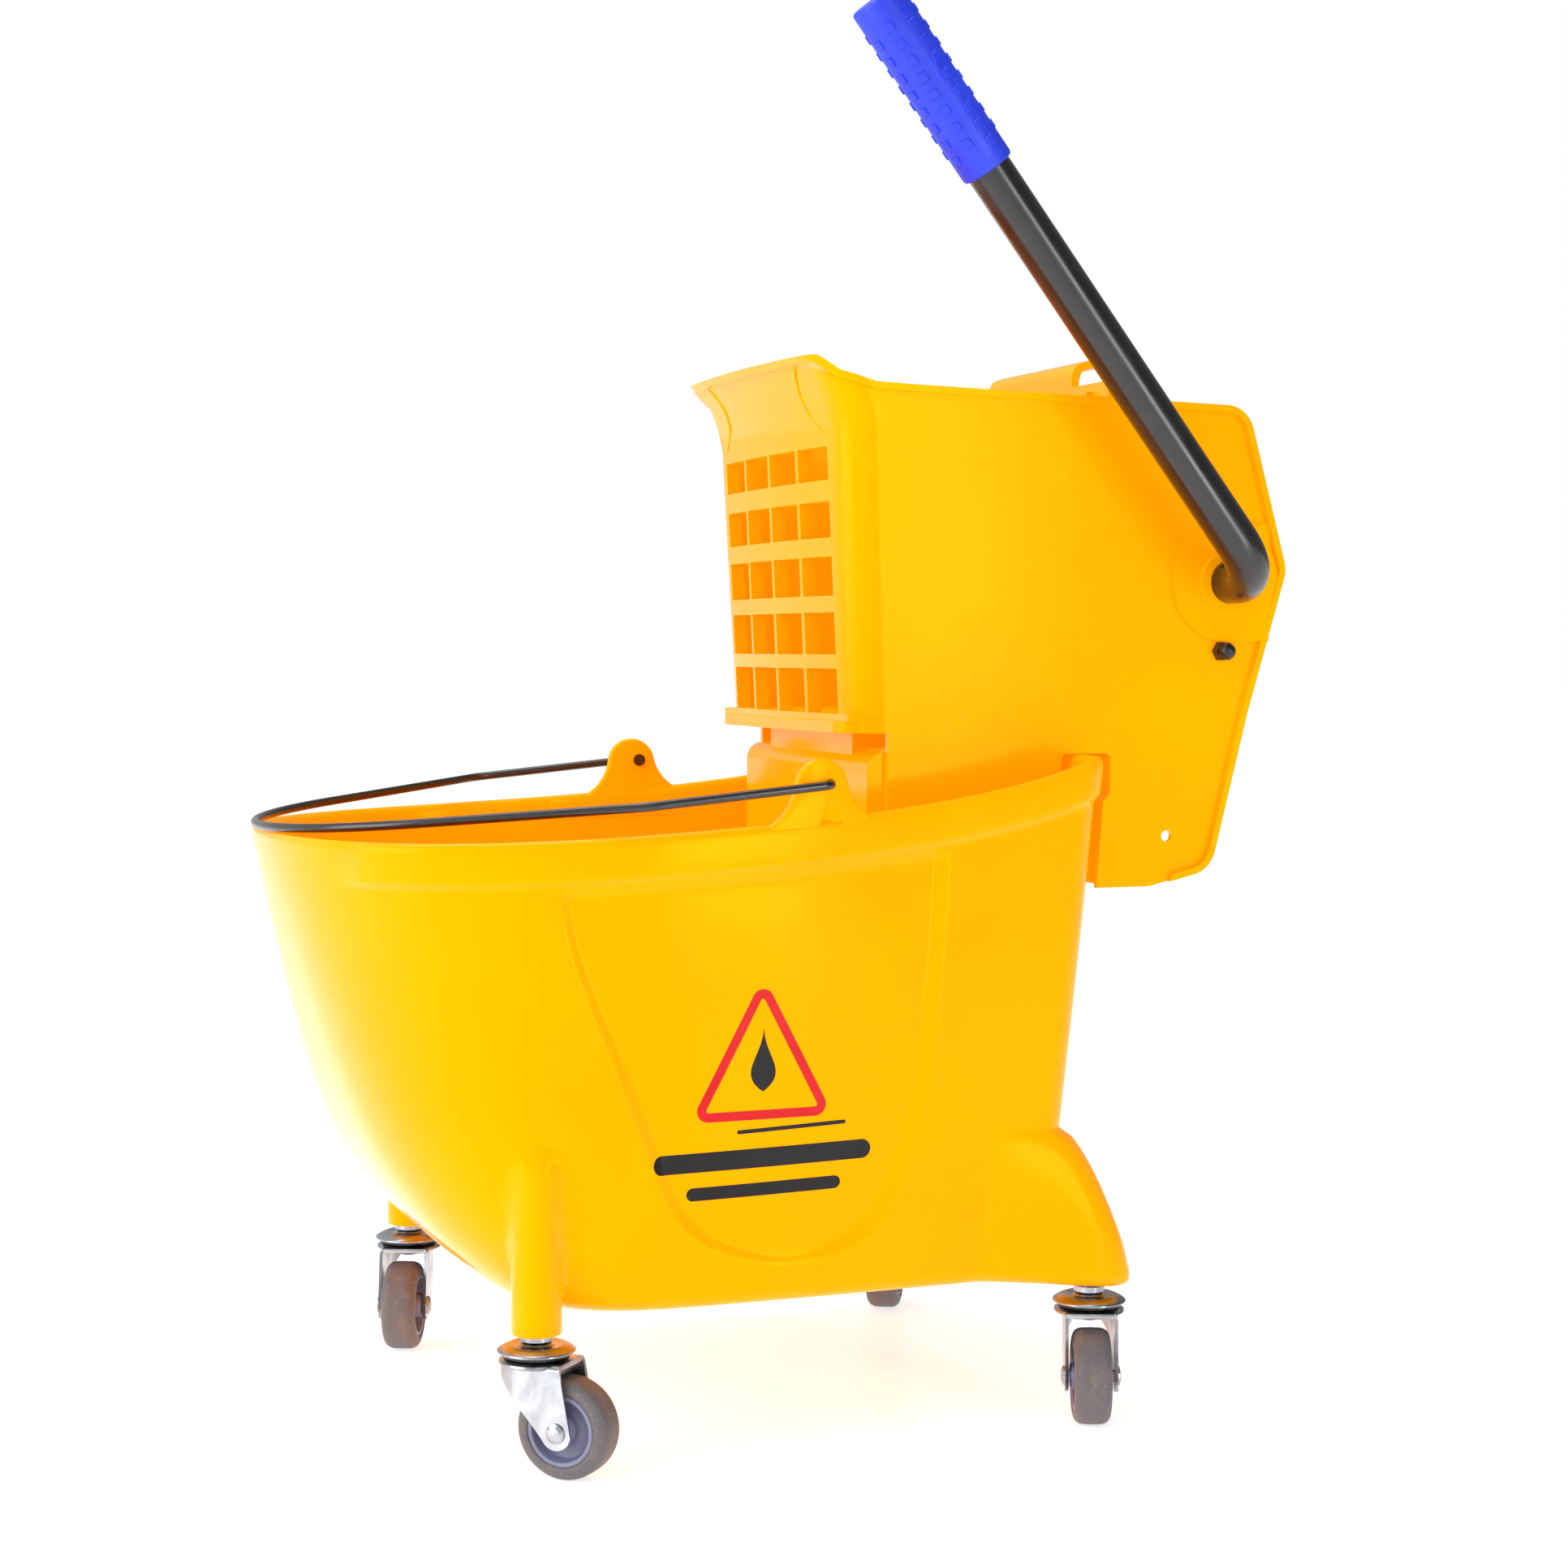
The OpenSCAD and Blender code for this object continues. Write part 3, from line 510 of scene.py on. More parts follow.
def tub_ring(s, drop, offset, feet):
    """One closed ring of the skin, as (x, y, z) rows."""
    level = min(1, max(0, s - drop / 300))
    half = tub_half(level, min(offset, 0))
    stands = ease(*BAND_START, half[:, :1])
    if offset > 0:
        half = half + (tub_half(level, offset) - half) * stands
    if s == 1 and 0 <= drop < 5 and offset > -1:
        half = half + (tub_half(level, -0.09 * (5 - drop) ** 2) - half) * (1 - stands)
    x, y = half.T
    z = TUB_FLOOR_Z + s * (rim_z(x) - TUB_FLOOR_Z) - drop
    if feet:
        w = ease(93, 143, x) * ease(105, 150, y)
        t = np.clip((FOOT_TOP_Z - z) / (FOOT_TOP_Z - FOOT_Z), 0, 1)
        z = z - (TUB_FLOOR_Z - FOOT_Z) * w * ease(24, 0, z - TUB_FLOOR_Z)
        x = x + FOOT_BACK * t ** 0.7 * w * ease(-0.02, 0.06, t)
        y = y + FOOT_SIDE * t ** 0.8 * w
    half = np.column_stack((x, y, z))
    return np.vstack((half, half[-2:0:-1] * (1, -1, 1)))


def ring_normals(rings):
    along = np.roll(rings, -1, axis=1) - np.roll(rings, 1, axis=1)
    upward = np.gradient(rings, axis=0)
    normal = np.cross(upward, along)
    return normal / np.maximum(np.linalg.norm(normal, axis=2, keepdims=True), 1e-9)


def sink_recess(rings):
    """Presses the wide, soft-edged panel into both sides."""
    flat = rings.reshape(-1, 3).copy()
    near = (np.abs(flat[:, 1]) > 120) & (flat[:, 0] > -215) & (flat[:, 0] < 80)
    depth = outline_distance(flat[near][:, [0, 2]], smooth_closed(RECESS))
    share = ease(-RECESS_EDGE / 2, RECESS_EDGE / 2, depth)
    share *= ease(29, 38, rim_z(flat[near, 0]) - flat[near, 2])
    flat[near, 1] -= np.sign(flat[near, 1]) * RECESS_DEPTH * share
    return flat.reshape(rings.shape)


def swell_over_posts(rings, posts):
    """Pushes the skin out over the caster posts, with a fillet where they meet."""
    normals = ring_normals(rings).reshape(-1, 3)
    flat = rings.reshape(-1, 3).copy()
    for x, y in posts:
        near = np.linalg.norm(flat[:, :2] - (x, y), axis=1) < POST_REACH
        start, ray = flat[near], normals[near]
        t = np.zeros(len(start))
        for _ in range(60):
            p = start + ray * t[:, None]
            on_axis = np.column_stack((np.full(len(p), x), np.full(len(p), y),
                                       np.clip(p[:, 2], 0, POST_TOP_Z)))
            d = np.linalg.norm(p - on_axis, axis=1) - POST_R
            h = np.clip(0.5 + 0.5 * (d - t) / POST_BLEND, 0, 1)
            union = d + (t - d) * h - POST_BLEND * h * (1 - h)
            t = t - np.minimum(union, 0)
        flat[near] = start + ray * np.minimum(t, 2 * POST_R)[:, None]
    return flat.reshape(rings.shape)


def build_tub(posts):
    round_r, edge = 9, np.linspace(0, math.pi / 2, 8)
    under = [(0, 0, o, 1) for o in (-110, -84, -62, -44, -30, -19)]
    under += [(0, -round_r * (1 - math.cos(a)), -round_r * (1 - math.sin(a)), 1) for a in edge]
    outer = [(s, 0, 0, 1) for s in np.linspace(0.036, 0.72, 104)]
    outer += [(0.72 + 0.28 * t, 31 * t, 0, 0) for t in np.linspace(0, 1, 34)[1:]]
    rim = [(1, drop, o, 0) for drop, o in (
        (29.6, 0.25), (28.2, 1.1), (27, 2.2), (25.8, 3.2), (24.2, 3.8), (22, 4), (15, 4),
        (9, 4), (6.4, 3.85), (4.3, 3.4), (2.6, 2.6), (1.3, 1.5), (0.4, 0.2), (0.05, -0.9),
        (0.5, -2.2), (1.7, -3.3), (3.6, -4.1), (6.5, -WALL), (12, -WALL), (20, -WALL))]
    inner = [(0.72 + 0.28 * t, 27 * t, -WALL, 0) for t in np.linspace(1, 0, 16)]
    inner += [(s, 0, -WALL, 0) for s in np.linspace(0.70, 0.07, 44)]
    inner += [(0.07 - 0.045 * math.sin(a), 0, -WALL - 15 * (1 - math.cos(a)), 0)
              for a in np.linspace(0, math.pi / 2, 8)]
    inner += [(0.024, 0, o, 0) for o in (-34, -60, -90, -120)]
    skin = np.stack([tub_ring(*level) for level in under + outer])
    skin = swell_over_posts(sink_recess(skin), posts)
    rings = np.concatenate((skin, np.stack([tub_ring(*level) for level in rim + inner])))
    rows, n = rings.shape[:2]
    faces = grid_faces(rows, n, wrap=True)
    for base, flip in ((0, False), ((rows - 1) * n, True)):
        for j in range(n // 2):
            face = [base + k for k in (j % n, j + 1, (n - j - 1) % n, (n - j) % n)]
            face = list(dict.fromkeys(face))
            if len(face) > 2:
                faces.append(face if flip else face[::-1])
    return weld(add_mesh("tub_moulding", rings.reshape(-1, 3) * MM, faces))


def ear_outline():
    """Round top that runs into the rim through a wide concave curve on each side."""
    fillet, top = 34, (EAR_TOP_X, EAR_Z - 1.6)
    points = [(-92, 386)]
    for sign, foot in ((-1, (-92, 400)), (1, (30, 405))):
        rise = top[1] - foot[1] - fillet
        reach = math.sqrt((EAR_R + fillet) ** 2 - rise ** 2)
        centre = (top[0] + sign * reach, foot[1] + fillet)
        lean = math.degrees(math.atan2(rise, reach))
        if sign < 0:
            points += [foot, *arc(centre, fillet, -90, lean, 16)]
            left = 180 + lean
        else:
            points += [*arc(top, EAR_R, left, -lean, 34)[1:-1],
                       *arc(centre, fillet, 180 - lean, 270, 16), foot]
    points.append((30, 386))
    return points


def wall_y(x):
    """Half the tub's width at the rim."""
    side = tub_half(1, 0)[NOSE_POINTS - 2:NOSE_POINTS + SIDE_POINTS - 2]
    return float(np.interp(x, side[:, 0], side[:, 1]))


def build_ear(side):
    low, high = (EAR_Y - EAR_T, EAR_Y) if side > 0 else (-EAR_Y, EAR_T - EAR_Y)
    ear = plate("ear_right" if side > 0 else "ear_left", ear_outline(), low, high, 2.6)
    hole = tube("hole", [(EAR_X, low - 5, EAR_Z), (EAR_X, high + 5, EAR_Z)], 3.6, 32)
    cut(ear, hole)
    face, deep = side * EAR_Y, side * (EAR_Y - 4.8)
    tip_x, tip_z, left_x, right_x, base_z = EAR_X - 1, EAR_Z - 5, -31, -8, 398
    wedge = [(tip_x, face + side, tip_z), (left_x, face + side, base_z),
             (right_x, face + side, base_z), (tip_x, face - side * 0.2, tip_z),
             (left_x, deep, base_z), (right_x, face - side * 0.6, base_z)]
    faces = [(0, 1, 2), (3, 5, 4), (0, 3, 4, 1), (1, 4, 5, 2), (2, 5, 3, 0)]
    cut(ear, weld(add_mesh("wedge", np.array(wedge) * MM, faces)))
    for vertex in ear.data.vertices:
        x, z = vertex.co.x / MM, vertex.co.z / MM
        shift = wall_y(x) - wall_y(EAR_X) - 2.4 * float(ease(420, 400, z))
        vertex.co.y += side * min(0.8, shift) * MM
    return smooth_by_angle(ear, 38)


def build_post(x, y, socket):
    """The part of a post that stands below the skin, with its socket for the stem."""
    profile = [(socket, FOOT_Z), (POST_R - 1.6, FOOT_Z), (POST_R - 0.45, FOOT_Z + 0.5),
               (POST_R - 0.05, FOOT_Z + 1.8), (POST_R - 0.05, POST_TOP_Z - 34),
               (POST_R - 1.5, POST_TOP_Z - 28), (POST_R - 6, POST_TOP_Z - 24),
               (socket, POST_TOP_Z - 23)]
    post = lathe("post", profile, 64)
    return place(post, Matrix.Translation((x * MM, y * MM, 0)))


# ------------------------------------------------------------------ bucket
def at(joint):
    return Vector(JOINTS[joint]["pos_m"]) / MM


CASTERS = ("front_left", "front_right", "rear_left", "rear_right")


def make_bucket():
    posts = [tuple(at(f"{c}_swivel_turn")[:2]) for c in CASTERS[:2]]
    tub = smooth_by_angle(build_tub(posts), 48)
    dress(tub, "yellow_plastic", "bucket", "bucket_tub")
    for side in (-1, 1):
        dress(build_ear(side), "yellow_plastic", "bucket")
    for c, (x, y) in zip(CASTERS, posts):
        post = smooth_by_angle(build_post(x, y, STEM_R), 45)
        post.name = c + "_post"
        dress(post, "yellow_plastic", "bucket")
    return tub


# ------------------------------------------------------------------ printed mark
MARK_RED, MARK_BLACK = (200, 0, 10), (6, 5, 5)


def drape(name, rows, onto, colour, lift=0.18):
    """Lays a strip of (x, z) rows on the near side of a piece as a thin printed film."""
    rows = np.asarray(rows, float)
    graph = bpy.context.evaluated_depsgraph_get()
    tree = BVHTree.FromObject(onto, graph)
    points = []
    for x, z in rows.reshape(-1, 2):
        hit = tree.ray_cast(Vector((x * MM, -0.4, z * MM)), Vector((0, 1, 0)))
        points.append(hit[0] / MM + hit[1] * lift)
    outer = np.array(points)
    inner = outer + (0, 2 * lift, 0)
    obj = weld(add_mesh(name, np.vstack((outer, inner)) * MM, sheet_faces(*rows.shape[:2])))
    MATERIALS[name] = printed(name, colour)
    obj.data.materials.append(MATERIALS[name])
    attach(obj, "bucket")
    return smooth_by_angle(obj, 50)


def ribbon(inner, outer, across=3):
    """Rows of points between two curves of the same length."""
    share = np.linspace(0, 1, across)[:, None, None]
    return np.asarray(inner) * (1 - share) + np.asarray(outer) * share


def bar(x0, z0, x1, z1, thick):
    """A straight bar with round ends, from one end to the other."""
    a, b = np.array((x0, z0), float), np.array((x1, z1), float)
    ahead = (b - a) / np.linalg.norm(b - a)
    side = np.array((-ahead[1], ahead[0])) * thick / 2
    t = (1 - np.cos(np.linspace(0, math.pi, 48))) / 2
    r = thick / 2 / np.linalg.norm(b - a)
    ends = np.minimum(t, 1 - t)
    width = np.sqrt(np.clip(1 - (1 - np.minimum(ends / r, 1)) ** 2, 0.02, 1))
    middle = a + (b - a) * t[:, None]
    return ribbon(middle - side * width[:, None], middle + side * width[:, None])


def inset_triangle(corners, r, inset, count=20):
    """A triangle with round corners, set in by a distance, as a closed run of points."""
    points = []
    for k in range(3):
        corner, before, after = corners[k], corners[k - 1], corners[(k + 1) % 3]
        u = (before - corner) / np.linalg.norm(before - corner)
        v = (after - corner) / np.linalg.norm(after - corner)
        half = math.acos(u @ v) / 2
        hub = corner + (u + v) / np.linalg.norm(u + v) * r / math.sin(half)
        sign = np.sign(np.cross(u, v))
        first = math.atan2(-u[0] * sign, u[1] * sign)
        last = math.atan2(v[0] * sign, -v[1] * sign)
        sweep = (last - first + math.pi) % (2 * math.pi) - math.pi
        turn = first + sweep * np.linspace(0, 1, count)
        points.append(hub + (r - inset) * np.column_stack((np.cos(turn), np.sin(turn))))
    return spread_along(np.vstack(points + [points[0][:1]]), 160)


def make_mark(tub):
    """A plain caution triangle with a drop in it, and plain bars where the words would be."""
    corners = np.array([(-64, 309), (-14, 217), (-112, 217)], float)
    corner_r, line = 7.5, 6
    outer = inset_triangle(corners, corner_r, 0)
    inner = inset_triangle(corners, corner_r, line)
    drape("mark_triangle", ribbon(inner, outer, 4), tub, MARK_RED)
    t = np.linspace(0, 1, 30)
    half = 11 * np.sin(math.pi * t ** 1.5) ** 0.9 * (0.28 + 0.72 * t) + 0.15
    spine = np.column_stack((np.full(30, -63.0), 275 - 40 * t))
    side = np.column_stack((half, np.zeros(30)))
    drape("mark_drop", ribbon(spine - side, spine + side, 5), tub, MARK_BLACK)
    bars = ((-80, 209.5, -5, 212, 2.6), (-136, 191, 13, 193.5, 12.5), (-113, 171, -8, 173, 8.5))
    for index, (x0, z0, x1, z1, thick) in enumerate(bars):
        drape(f"mark_bar_{index}", bar(x0, z0, x1, z1, thick), tub, MARK_BLACK)


# ------------------------------------------------------------------ wringer
FRONT_X, FRONT_SLOPE = 15, 0.0487    # the front face at the height where its curl starts
CURL_Z, CURL_HEIGHT, CURL_REACH = 661, 46, 16


def front_x(z):
    """The front face of the wringer, which curls forward above the grid."""
    curl = CURL_REACH * ((z - CURL_Z) / CURL_HEIGHT) ** 1.8 if z > CURL_Z else 0
    return FRONT_X + (CURL_Z - z) * FRONT_SLOPE - curl


def make_wringer():
    body = bevelled_copy("wringer_body", 0.9 * MM, 28)
    dress(body, "yellow_plastic", "wringer", "wringer_body")
    knots = [(93, 708), (80, 698), (74, 685), (78, 673), (94, 662), (101, 658)]
    for side in (-1, 1):
        path = []
        for y, z in spread_along(smooth_open(knots), 48):
            x = front_x(z) - 5 * (1 - min(1, abs(y) / 104) ** 2)
            path.append((x + 0.2, side * y, z))
        taper = 1.5 * np.clip(np.minimum(np.arange(48), np.arange(48)[::-1]) / 6, 0.2, 1)
        rib = tube(f"scoop_rib_{'right' if side > 0 else 'left'}", path, taper, 14)
        dress(smooth_by_angle(rib, 60), "yellow_plastic", "wringer")


def make_small_parts():
    """Sheet and moulded parts, with the sharp CAD edges broken."""
    for node, body, width in (
        ("bushing_left", "wringer", 0.7), ("bushing_right", "wringer", 0.7),
        ("cap_nuts", "wringer", 0.4), ("press_plate", "press", 0.8),
        ("arm_left", "handle", 0.6), ("arm_right", "handle", 0.6),
        ("arm_bolts", "handle", 0.4), ("bracket_bolts", "press", 0.4),
        ("link_left", "left_link", 0.5), ("link_right", "right_link", 0.5),
        ("press_bracket_left", "press", 0.6), ("press_bracket_right", "press", 0.6),
    ):
        dress(bevelled_copy(node, width * MM), SLOT_OF[node], body, node)


# ------------------------------------------------------------------ handle
GRIP_R, GRIP_LENGTH, TUBE_R = 18.1, 130, 15.05
PAD, PAD_HEIGHT, PAD_PITCH, PAD_ROWS, PAD_COLUMNS = 6.2, 0.9, 12.6, 8, 8


def along_handle():
    """From a frame with Z along the grip and its closed end at 0 to the handle at rest."""
    pivot = Vector(JOINTS["handle_turn"]["pos_m"])
    low, high = (Vector(corner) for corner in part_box("handle_grip"))
    middle = (low + high) / 2
    lean = math.atan2(pivot.x - middle.x, middle.z - pivot.z)
    reach = math.hypot(pivot.x - middle.x, middle.z - pivot.z) + GRIP_LENGTH / 2 * MM
    axis = Vector((-math.sin(lean), 0, math.cos(lean)))
    end = Vector((pivot.x, middle.y, pivot.z)) + axis * reach
    down = -axis
    out = Vector((0, -1, 0))
    rotation = Matrix((out.cross(down) * -1, out, down)).transposed().to_4x4()
    return Matrix.Translation(end) @ rotation


def make_grip():
    end = [(GRIP_R - 3 + 3 * math.sin(a), 3 - 3 * math.cos(a))
           for a in np.linspace(0, math.pi / 2, 8)]
    profile = [(0.001, 0), (9, 0)] + end + [
        (GRIP_R, 30), (GRIP_R - 0.25, 60), (GRIP_R, 96), (GRIP_R, GRIP_LENGTH - 2.2),
        (GRIP_R - 0.7, GRIP_LENGTH - 0.6), (GRIP_R - 1.8, GRIP_LENGTH),
        (TUBE_R, GRIP_LENGTH), (TUBE_R, 5.9), (0.001, 5.9)]
    pieces = [lathe("sleeve", profile, 120)]
    for column in range(PAD_COLUMNS):
        first = 19 if column % 2 else 25.3
        middle = math.radians(360 / PAD_COLUMNS * column + 12)
        for row in range(PAD_ROWS):
            pieces.append(grip_pad(middle, first + row * PAD_PITCH))
    for turn in (0.31 + math.pi / 2, 0.31 + 3 * math.pi / 2):
        line = [(GRIP_R * math.cos(turn), GRIP_R * math.sin(turn), z)
                for z in np.linspace(2.5, 127.5, 30)]
        pieces.append(tube("parting", line, 0.28, 8))
    grip = join("grip_moulding", pieces)
    place(grip, along_handle())
    dress(smooth_by_angle(grip, 32), "blue_rubber", "handle", "handle_grip")


def grip_pad(turn, z):
    """A raised square that follows the sleeve, with a small chamfer."""
    steps, half = 5, PAD / 2
    rings = []
    top_r = GRIP_R + PAD_HEIGHT
    for r, inset in ((GRIP_R - 0.6, 0), (top_r - 0.3, 0.1), (top_r, 0.45)):
        h = half - inset
        edge = [(-h, -h), (h, -h), (h, h), (-h, h)]
        ring = []
        for (u0, v0), (u1, v1) in zip(edge, edge[1:] + edge[:1]):
            for k in range(steps):
                u, v = u0 + (u1 - u0) * k / steps, v0 + (v1 - v0) * k / steps
                a = turn + u / GRIP_R
                ring.append((r * math.cos(a), r * math.sin(a), z + v))
        rings.append(ring)
    n = len(rings[0])
    faces = grid_faces(3, n, wrap=True)
    top = 2 * n
    faces += [(top + k, top + k + 1, top + (3 * steps - k - 1) % n, top + (3 * steps - k) % n)
              for k in range(steps)]
    faces += [tuple(range(n))[::-1]]
    return weld(add_mesh("pad", np.vstack(rings) * MM, faces))


def make_welds():
    """Uneven beads where the stamped arms are welded to the cross shaft."""
    pivot = at("handle_turn")
    rng = np.random.default_rng(11)
    arm_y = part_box("arm_right")[1][1] / MM
    for side in (-1, 1):
        rings = []
        for face, height in ((arm_y - 4.2, 2.1), (arm_y + 0.2, 1.6)):
            turn = np.linspace(0, 2 * math.pi, 96, endpoint=False)
            lumps = 1 + 0.16 * np.sin(turn * 17) + 0.14 * rng.standard_normal(96)
            r = 13.6 + height * 0.35
            path = [(pivot.x + r * math.cos(a), side * face, pivot.z + r * math.sin(a))
                    for a in turn]
            path = path + path[:2]
            size = np.r_[lumps, lumps[:2]] * height
            rings.append(tube("bead", path, size, 10))
        weld_bead = join(f"weld_{'right' if side > 0 else 'left'}", rings)
        dress(weld_bead, "black_steel", "handle")


COIL_Y, ARM_LEAN_DEGREES = (101.5, 119.5), 8.1    # the coil's ends and the arm at rest


def make_spring():
    """The torsion coil beside the right arm, with one leg on the tie rod and one on the arm."""
    pivot = at("handle_turn")
    low, high = (np.array(corner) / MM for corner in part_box("return_spring"))
    wire, pitch = 2.0, 4.1
    mean = high[0] - pivot.x - wire
    near, far = COIL_Y[0] + wire, COIL_Y[1] - wire
    turns = (far - near) / pitch
    a = np.linspace(0, 2 * math.pi * math.floor(turns), 190) + math.pi
    y = np.linspace(near, far, len(a))
    coil = np.column_stack((pivot.x + mean * np.cos(a), y, pivot.z + mean * np.sin(a)))
    rod = np.array(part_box("tie_rod")) / MM
    leg_x = rod[0][0] - wire - 0.6
    drop = pivot.z - (rod[0][2] + rod[1][2]) / 2
    slope = (leg_x - (pivot.x - mean)) / drop
    down = [(pivot.x - mean + slope * t, far, pivot.z - t) for t in np.linspace(4, 90, 20)]
    lean = math.radians(ARM_LEAN_DEGREES)
    up = [(-17.2 - 3.4 * t, near, 20 * t) for t in np.linspace(0.2, 1, 8)]
    up += [(-20.6, near - 3 * t, 20 + 0.3 * t) for t in np.linspace(0.3, 6.6, 8)]
    turned = [(pivot.x + x * math.cos(lean) - z * math.sin(lean), y,
               pivot.z + x * math.sin(lean) + z * math.cos(lean)) for x, y, z in up]
    path = np.vstack((np.array(turned)[::-1], coil, down))
    spring = tube("spring_wire", path, wire * 0.98, 14)
    spring.data.materials.append(MATERIALS["spring_steel"])
    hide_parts("return_spring")
    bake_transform(spring)
    smooth_by_angle(spring, 60)


# ------------------------------------------------------------------ casters
FORK_OUT, FORK_T, FORK_TOP, FORK_FRONT = 17.6, 2.3, 73.4, 24.4
FORK_RUN, FORK_STRAIGHT = 50.0, 25.0        # the leg's length seen from above, and its flat part
FORK_EYE_R, FORK_FLARE, FORK_BACK_R = 10.6, 8.4, 22.6


def make_caster(name):
    swivel = Vector(JOINTS[name + "_swivel_turn"]["pos_m"])
    axle = Vector(JOINTS[name + "_wheel_spin"]["pos_m"])
    trail = math.atan2(axle.y - swivel.y, axle.x - swivel.x)
    upright = Matrix.Translation((swivel.x, swivel.y, 0)) @ Matrix.Rotation(trail, 4, "Z")
    reach = (axle.xy - swivel.xy).length / MM
    wheel = (Matrix.Translation(axle) @ Matrix.Rotation(trail, 4, "Z")
             @ Matrix.Rotation(math.pi / 2, 4, "X"))
    radius = axle.z / MM

    cap = lathe("cap", [
        (6.1, 83.4), (9.4, 83.2), (10.2, 82.4), (11.2, 81.4), (13, 81.3), (16, 81.9), (18.4, 81.9),
        (21, 80.9), (23.2, 79.7), (24.4, 78.9), (24.8, 78.3), (24.7, 77.6), (24.1, 77.3),
        (22.6, 77.6), (20, 78.6), (17, 79.9), (6.1, 80.2)], 96)
    place(smooth_by_angle(cap, 50), upright).name = name + "_raceway_cap"
    dress(cap, "zinc_plated", "bucket", name + "_raceway")

    core_r, side = 22.45, 11.6
    core_half = [(4.2, 14.1), (7.6, 14.1), (8.3, 13.5), (8.7, 12), (9.2, 6), (10.2, 4.4),
                 (12.5, 3.6), (17, 3.4), (18.6, 4.1), (19.3, 5.6), (19.7, 11), (20.1, 11.7),
                 (20.7, side + 0.25), (21.9, side + 0.25), (core_r, side - 0.1)]
    core = lathe("core", [(r, -h) for r, h in core_half] + core_half[::-1], 96)
    place(smooth_by_angle(core, 50), wheel).name = name + "_core"
    dress(core, "grey_plastic", name + "_wheel", name + "_wheel_core")

    half = 12.5
    shoulder = [(radius - 8 + 7.9 * math.sin(a) ** 0.8, half - 8.2 + 8.2 * math.cos(a) ** 0.8)
                for a in np.linspace(0.0, math.pi / 2, 14)]
    side_edge = [(core_r + 0.05, half - 1.1), (core_r + 0.7, half - 0.5)]
    crown = [(radius - 0.03, 1.2), (radius, 0.45)]
    tread_half = side_edge + shoulder + crown
    tread = lathe("rubber", tread_half + [(r, -h) for r, h in tread_half[::-1]], 128)
    place(smooth_by_angle(tread, 50), wheel).name = name + "_rubber"
    dress(tread, "grey_tread", name + "_wheel", name + "_tread")

    make_fork(name, upright, reach, radius)


def make_fork(name, upright, reach, axle_z):
    """One stamped sheet: a top disc, and two legs that wrap around the back of it."""
    def plan(u):
        """The outer line of a leg seen from above, from the open side (0) to the back (1)."""
        run = u * FORK_RUN
        if run < FORK_STRAIGHT:
            return FORK_FRONT - run, FORK_OUT
        a = (run - FORK_STRAIGHT) / (FORK_RUN - FORK_STRAIGHT) * math.radians(66)
        return (FORK_FRONT - FORK_STRAIGHT - FORK_BACK_R * math.sin(a),
                FORK_OUT - FORK_BACK_R * (1 - math.cos(a)) * 0.72)

    def low_edge(x):
        """The leg's lower edge, which drops from the back to a round end at the axle."""
        if reach - FORK_FLARE < x <= reach + FORK_EYE_R:
            return axle_z - math.sqrt(FORK_EYE_R ** 2 - min(FORK_EYE_R, abs(x - reach)) ** 2)
        t = (reach - FORK_FLARE - x) / (reach - FORK_FLARE + 22)
        return axle_z - 6.4 + (64 - axle_z + 6.4) * t ** 0.92

    pieces = []
    columns, rows = 44, 30
    for side in (-1, 1):
        outer, inner = [], []
        for i in range(rows):
            rise = i / (rows - 1)
            for j in range(columns):
                u = j / (columns - 1)
                x, y = plan(u)
                flare = FORK_FLARE * (1 - u * 2) if u < 0.5 else 0
                low = low_edge(x + flare)
                z = low + (FORK_TOP - low) * rise
                x += flare * (1 - rise)
                roll = max(0, (z - FORK_TOP + 4) / 4)
                y_out = y - 2.2 * roll ** 2.2
                outer.append((x, side * y_out, z))
                inner.append((x * 0.985, side * (y_out - FORK_T), z - 0.3 * roll))
        faces = sheet_faces(rows, columns)
        leg = weld(add_mesh("leg", np.array(outer + inner) * MM, faces))
        pieces.append(leg)
    disc = lathe("disc", [
        (6.3, 69.9), (15, 69.9), (21.6, 69.9), (23.2, 70.4), (23.9, 71.4), (23.4, 72.6),
        (21.8, 73.4), (20.4, 74.4), (18.4, 75), (14, 75), (13, 75.6), (6.3, 75.6)], 96)
    pieces.append(disc)
    edge = [(FORK_OUT - 3, 73.4), (FORK_OUT - 1.2, 73), (FORK_OUT - 0.2, 71.6),
            (FORK_OUT - 1.4, 69.9)]
    shelf = [(-x, z) for x, z in edge[::-1]] + edge
    front = plate("shelf", shelf, 4, FORK_FRONT, 0.3, 3)
    place(front, Matrix(((0, 1, 0, 0), (1, 0, 0, 0), (0, 0, 1, 0), (0, 0, 0, 1))))
    pieces.append(weld(front))
    fork = join(name + "_fork_sheet", pieces)
    place(smooth_by_angle(fork, 40), upright)
    dress(fork, "zinc_plated", name + "_swivel", name + "_fork")


# ------------------------------------------------------------------ camera and light
CAMERA_AT, CAMERA_DEGREES = (-661.33, -1818.66, 514.38), (20.63, -2.78, 0.2)    # yaw, pitch, roll
IMAGE_PX, FOCAL_PX, SENSOR = 1932, 3385.46, 36


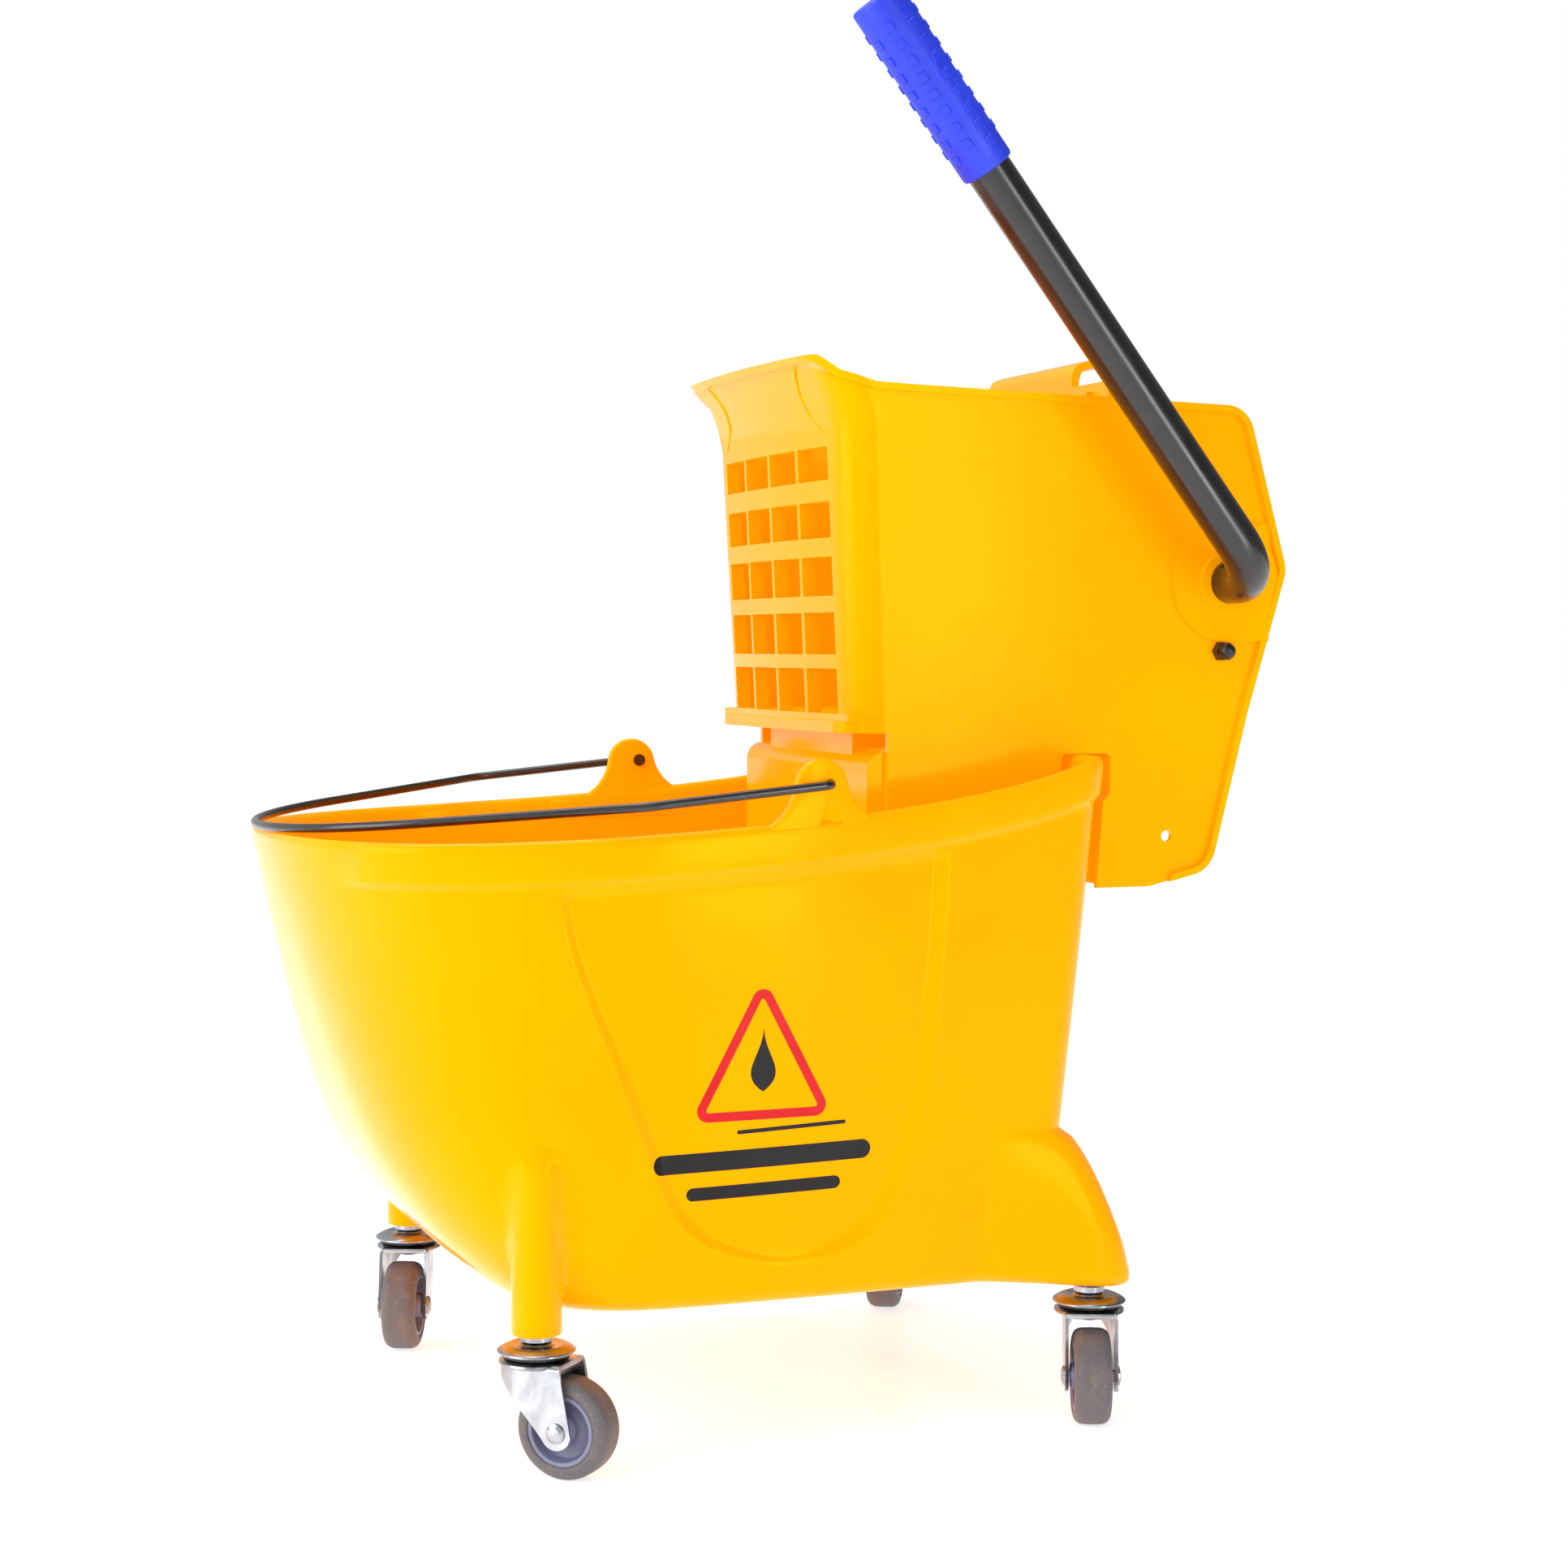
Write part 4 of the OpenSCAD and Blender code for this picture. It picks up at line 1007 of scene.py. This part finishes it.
def build_camera():
    data = bpy.data.cameras.new("camera")
    camera = bpy.data.objects.new("camera", data)
    bpy.context.scene.collection.objects.link(camera)
    data.sensor_width = SENSOR
    data.sensor_fit = "HORIZONTAL"
    data.lens = SENSOR * FOCAL_PX / IMAGE_PX
    data.clip_end = 50
    yaw, pitch, roll = (math.radians(a) for a in CAMERA_DEGREES)
    forward = Vector((math.sin(yaw) * math.cos(pitch), math.cos(yaw) * math.cos(pitch),
                      math.sin(pitch)))
    right = Vector((math.cos(yaw), -math.sin(yaw), 0))
    up = right.cross(forward)
    turned_right = right * math.cos(roll) + up * math.sin(roll)
    turned_up = up * math.cos(roll) - right * math.sin(roll)
    rotation = Matrix((turned_right, turned_up, -forward)).transposed()
    camera.matrix_world = Matrix.Translation(Vector(CAMERA_AT) * MM) @ rotation.to_4x4()
    bpy.context.scene.camera = camera


def add_light(name, position, target, size, power, height=None):
    data = bpy.data.lights.new(name, "AREA")
    data.shape = "RECTANGLE"
    data.size = size
    data.size_y = height or size
    data.energy = power
    light = bpy.data.objects.new(name, data)
    bpy.context.scene.collection.objects.link(light)
    light.location = position
    aim = Vector(target) - Vector(position)
    light.rotation_euler = aim.to_track_quat("-Z", "Y").to_euler()


def build_stage():
    far = 30
    floor = add_mesh("floor", [(-far, -far, 0), (far, -far, 0), (far, far, 0), (-far, far, 0)],
                     [(0, 1, 2, 3)])
    s = Shader("floor_white")
    cloud = s.ramp(s.noise(3.0), 0.3, 0.7)
    s.set(Base_Color=s.mix(cloud, rgb(246, 246, 246), rgb(250, 250, 250)))
    s.set(Roughness=0.3, Emission_Color=(1, 1, 1, 1), Emission_Strength=0.6)
    floor.data.materials.append(s.material)

    build_world()
    bpy.context.scene.view_settings.view_transform = "Standard"
    add_light("strip_front", (0.97, -2.39, 0.55), (0.1, -0.13, 0.55), 0.47, 17, height=1.7)
    add_light("fill_front", (-0.5, -2.8, 1.6), (0, -0.1, 0.4), 1.2, 4)
    add_light("softbox_left", (-2.4, -0.5, 1.1), (0, 0, 0.5), 1.6, 34, height=1.8)
    add_light("top", (-0.2, 0.2, 2.4), (-0.1, 0, 0.4), 1.6, 26)


def build_world():
    """White behind the object; its light falls off towards the right and the ground."""
    world = bpy.data.worlds.new("studio")
    bpy.context.scene.world = world
    world.use_nodes = True
    tree = world.node_tree
    back = tree.nodes["Background"]
    coords = tree.nodes.new("ShaderNodeTexCoord")
    split = tree.nodes.new("ShaderNodeSeparateXYZ")
    tree.links.new(coords.outputs["Generated"], split.inputs[0])
    side = tree.nodes.new("ShaderNodeMapRange")
    for key, number in (("From Min", -0.9), ("From Max", 0.6), ("To Min", 1.1), ("To Max", 0.25)):
        side.inputs[key].default_value = number
    tree.links.new(split.outputs["X"], side.inputs["Value"])
    seen = tree.nodes.new("ShaderNodeLightPath").outputs["Is Camera Ray"]
    strength = tree.nodes.new("ShaderNodeMix")
    strength.inputs["B"].default_value = 1.0
    tree.links.new(seen, strength.inputs["Factor"])
    tree.links.new(side.outputs[0], strength.inputs["A"])
    back.inputs["Color"].default_value = (1, 1, 1, 1)
    tree.links.new(strength.outputs[0], back.inputs["Strength"])


for node_name, obj in NODES.items():
    obj.data.materials.clear()
    obj.data.materials.append(MATERIALS[SLOT_OF[node_name]])

build_camera()
build_stage()
tub_piece = make_bucket()
make_mark(tub_piece)
make_wringer()
make_small_parts()
make_grip()
make_welds()
make_spring()
for caster in CASTERS:
    make_caster(caster)
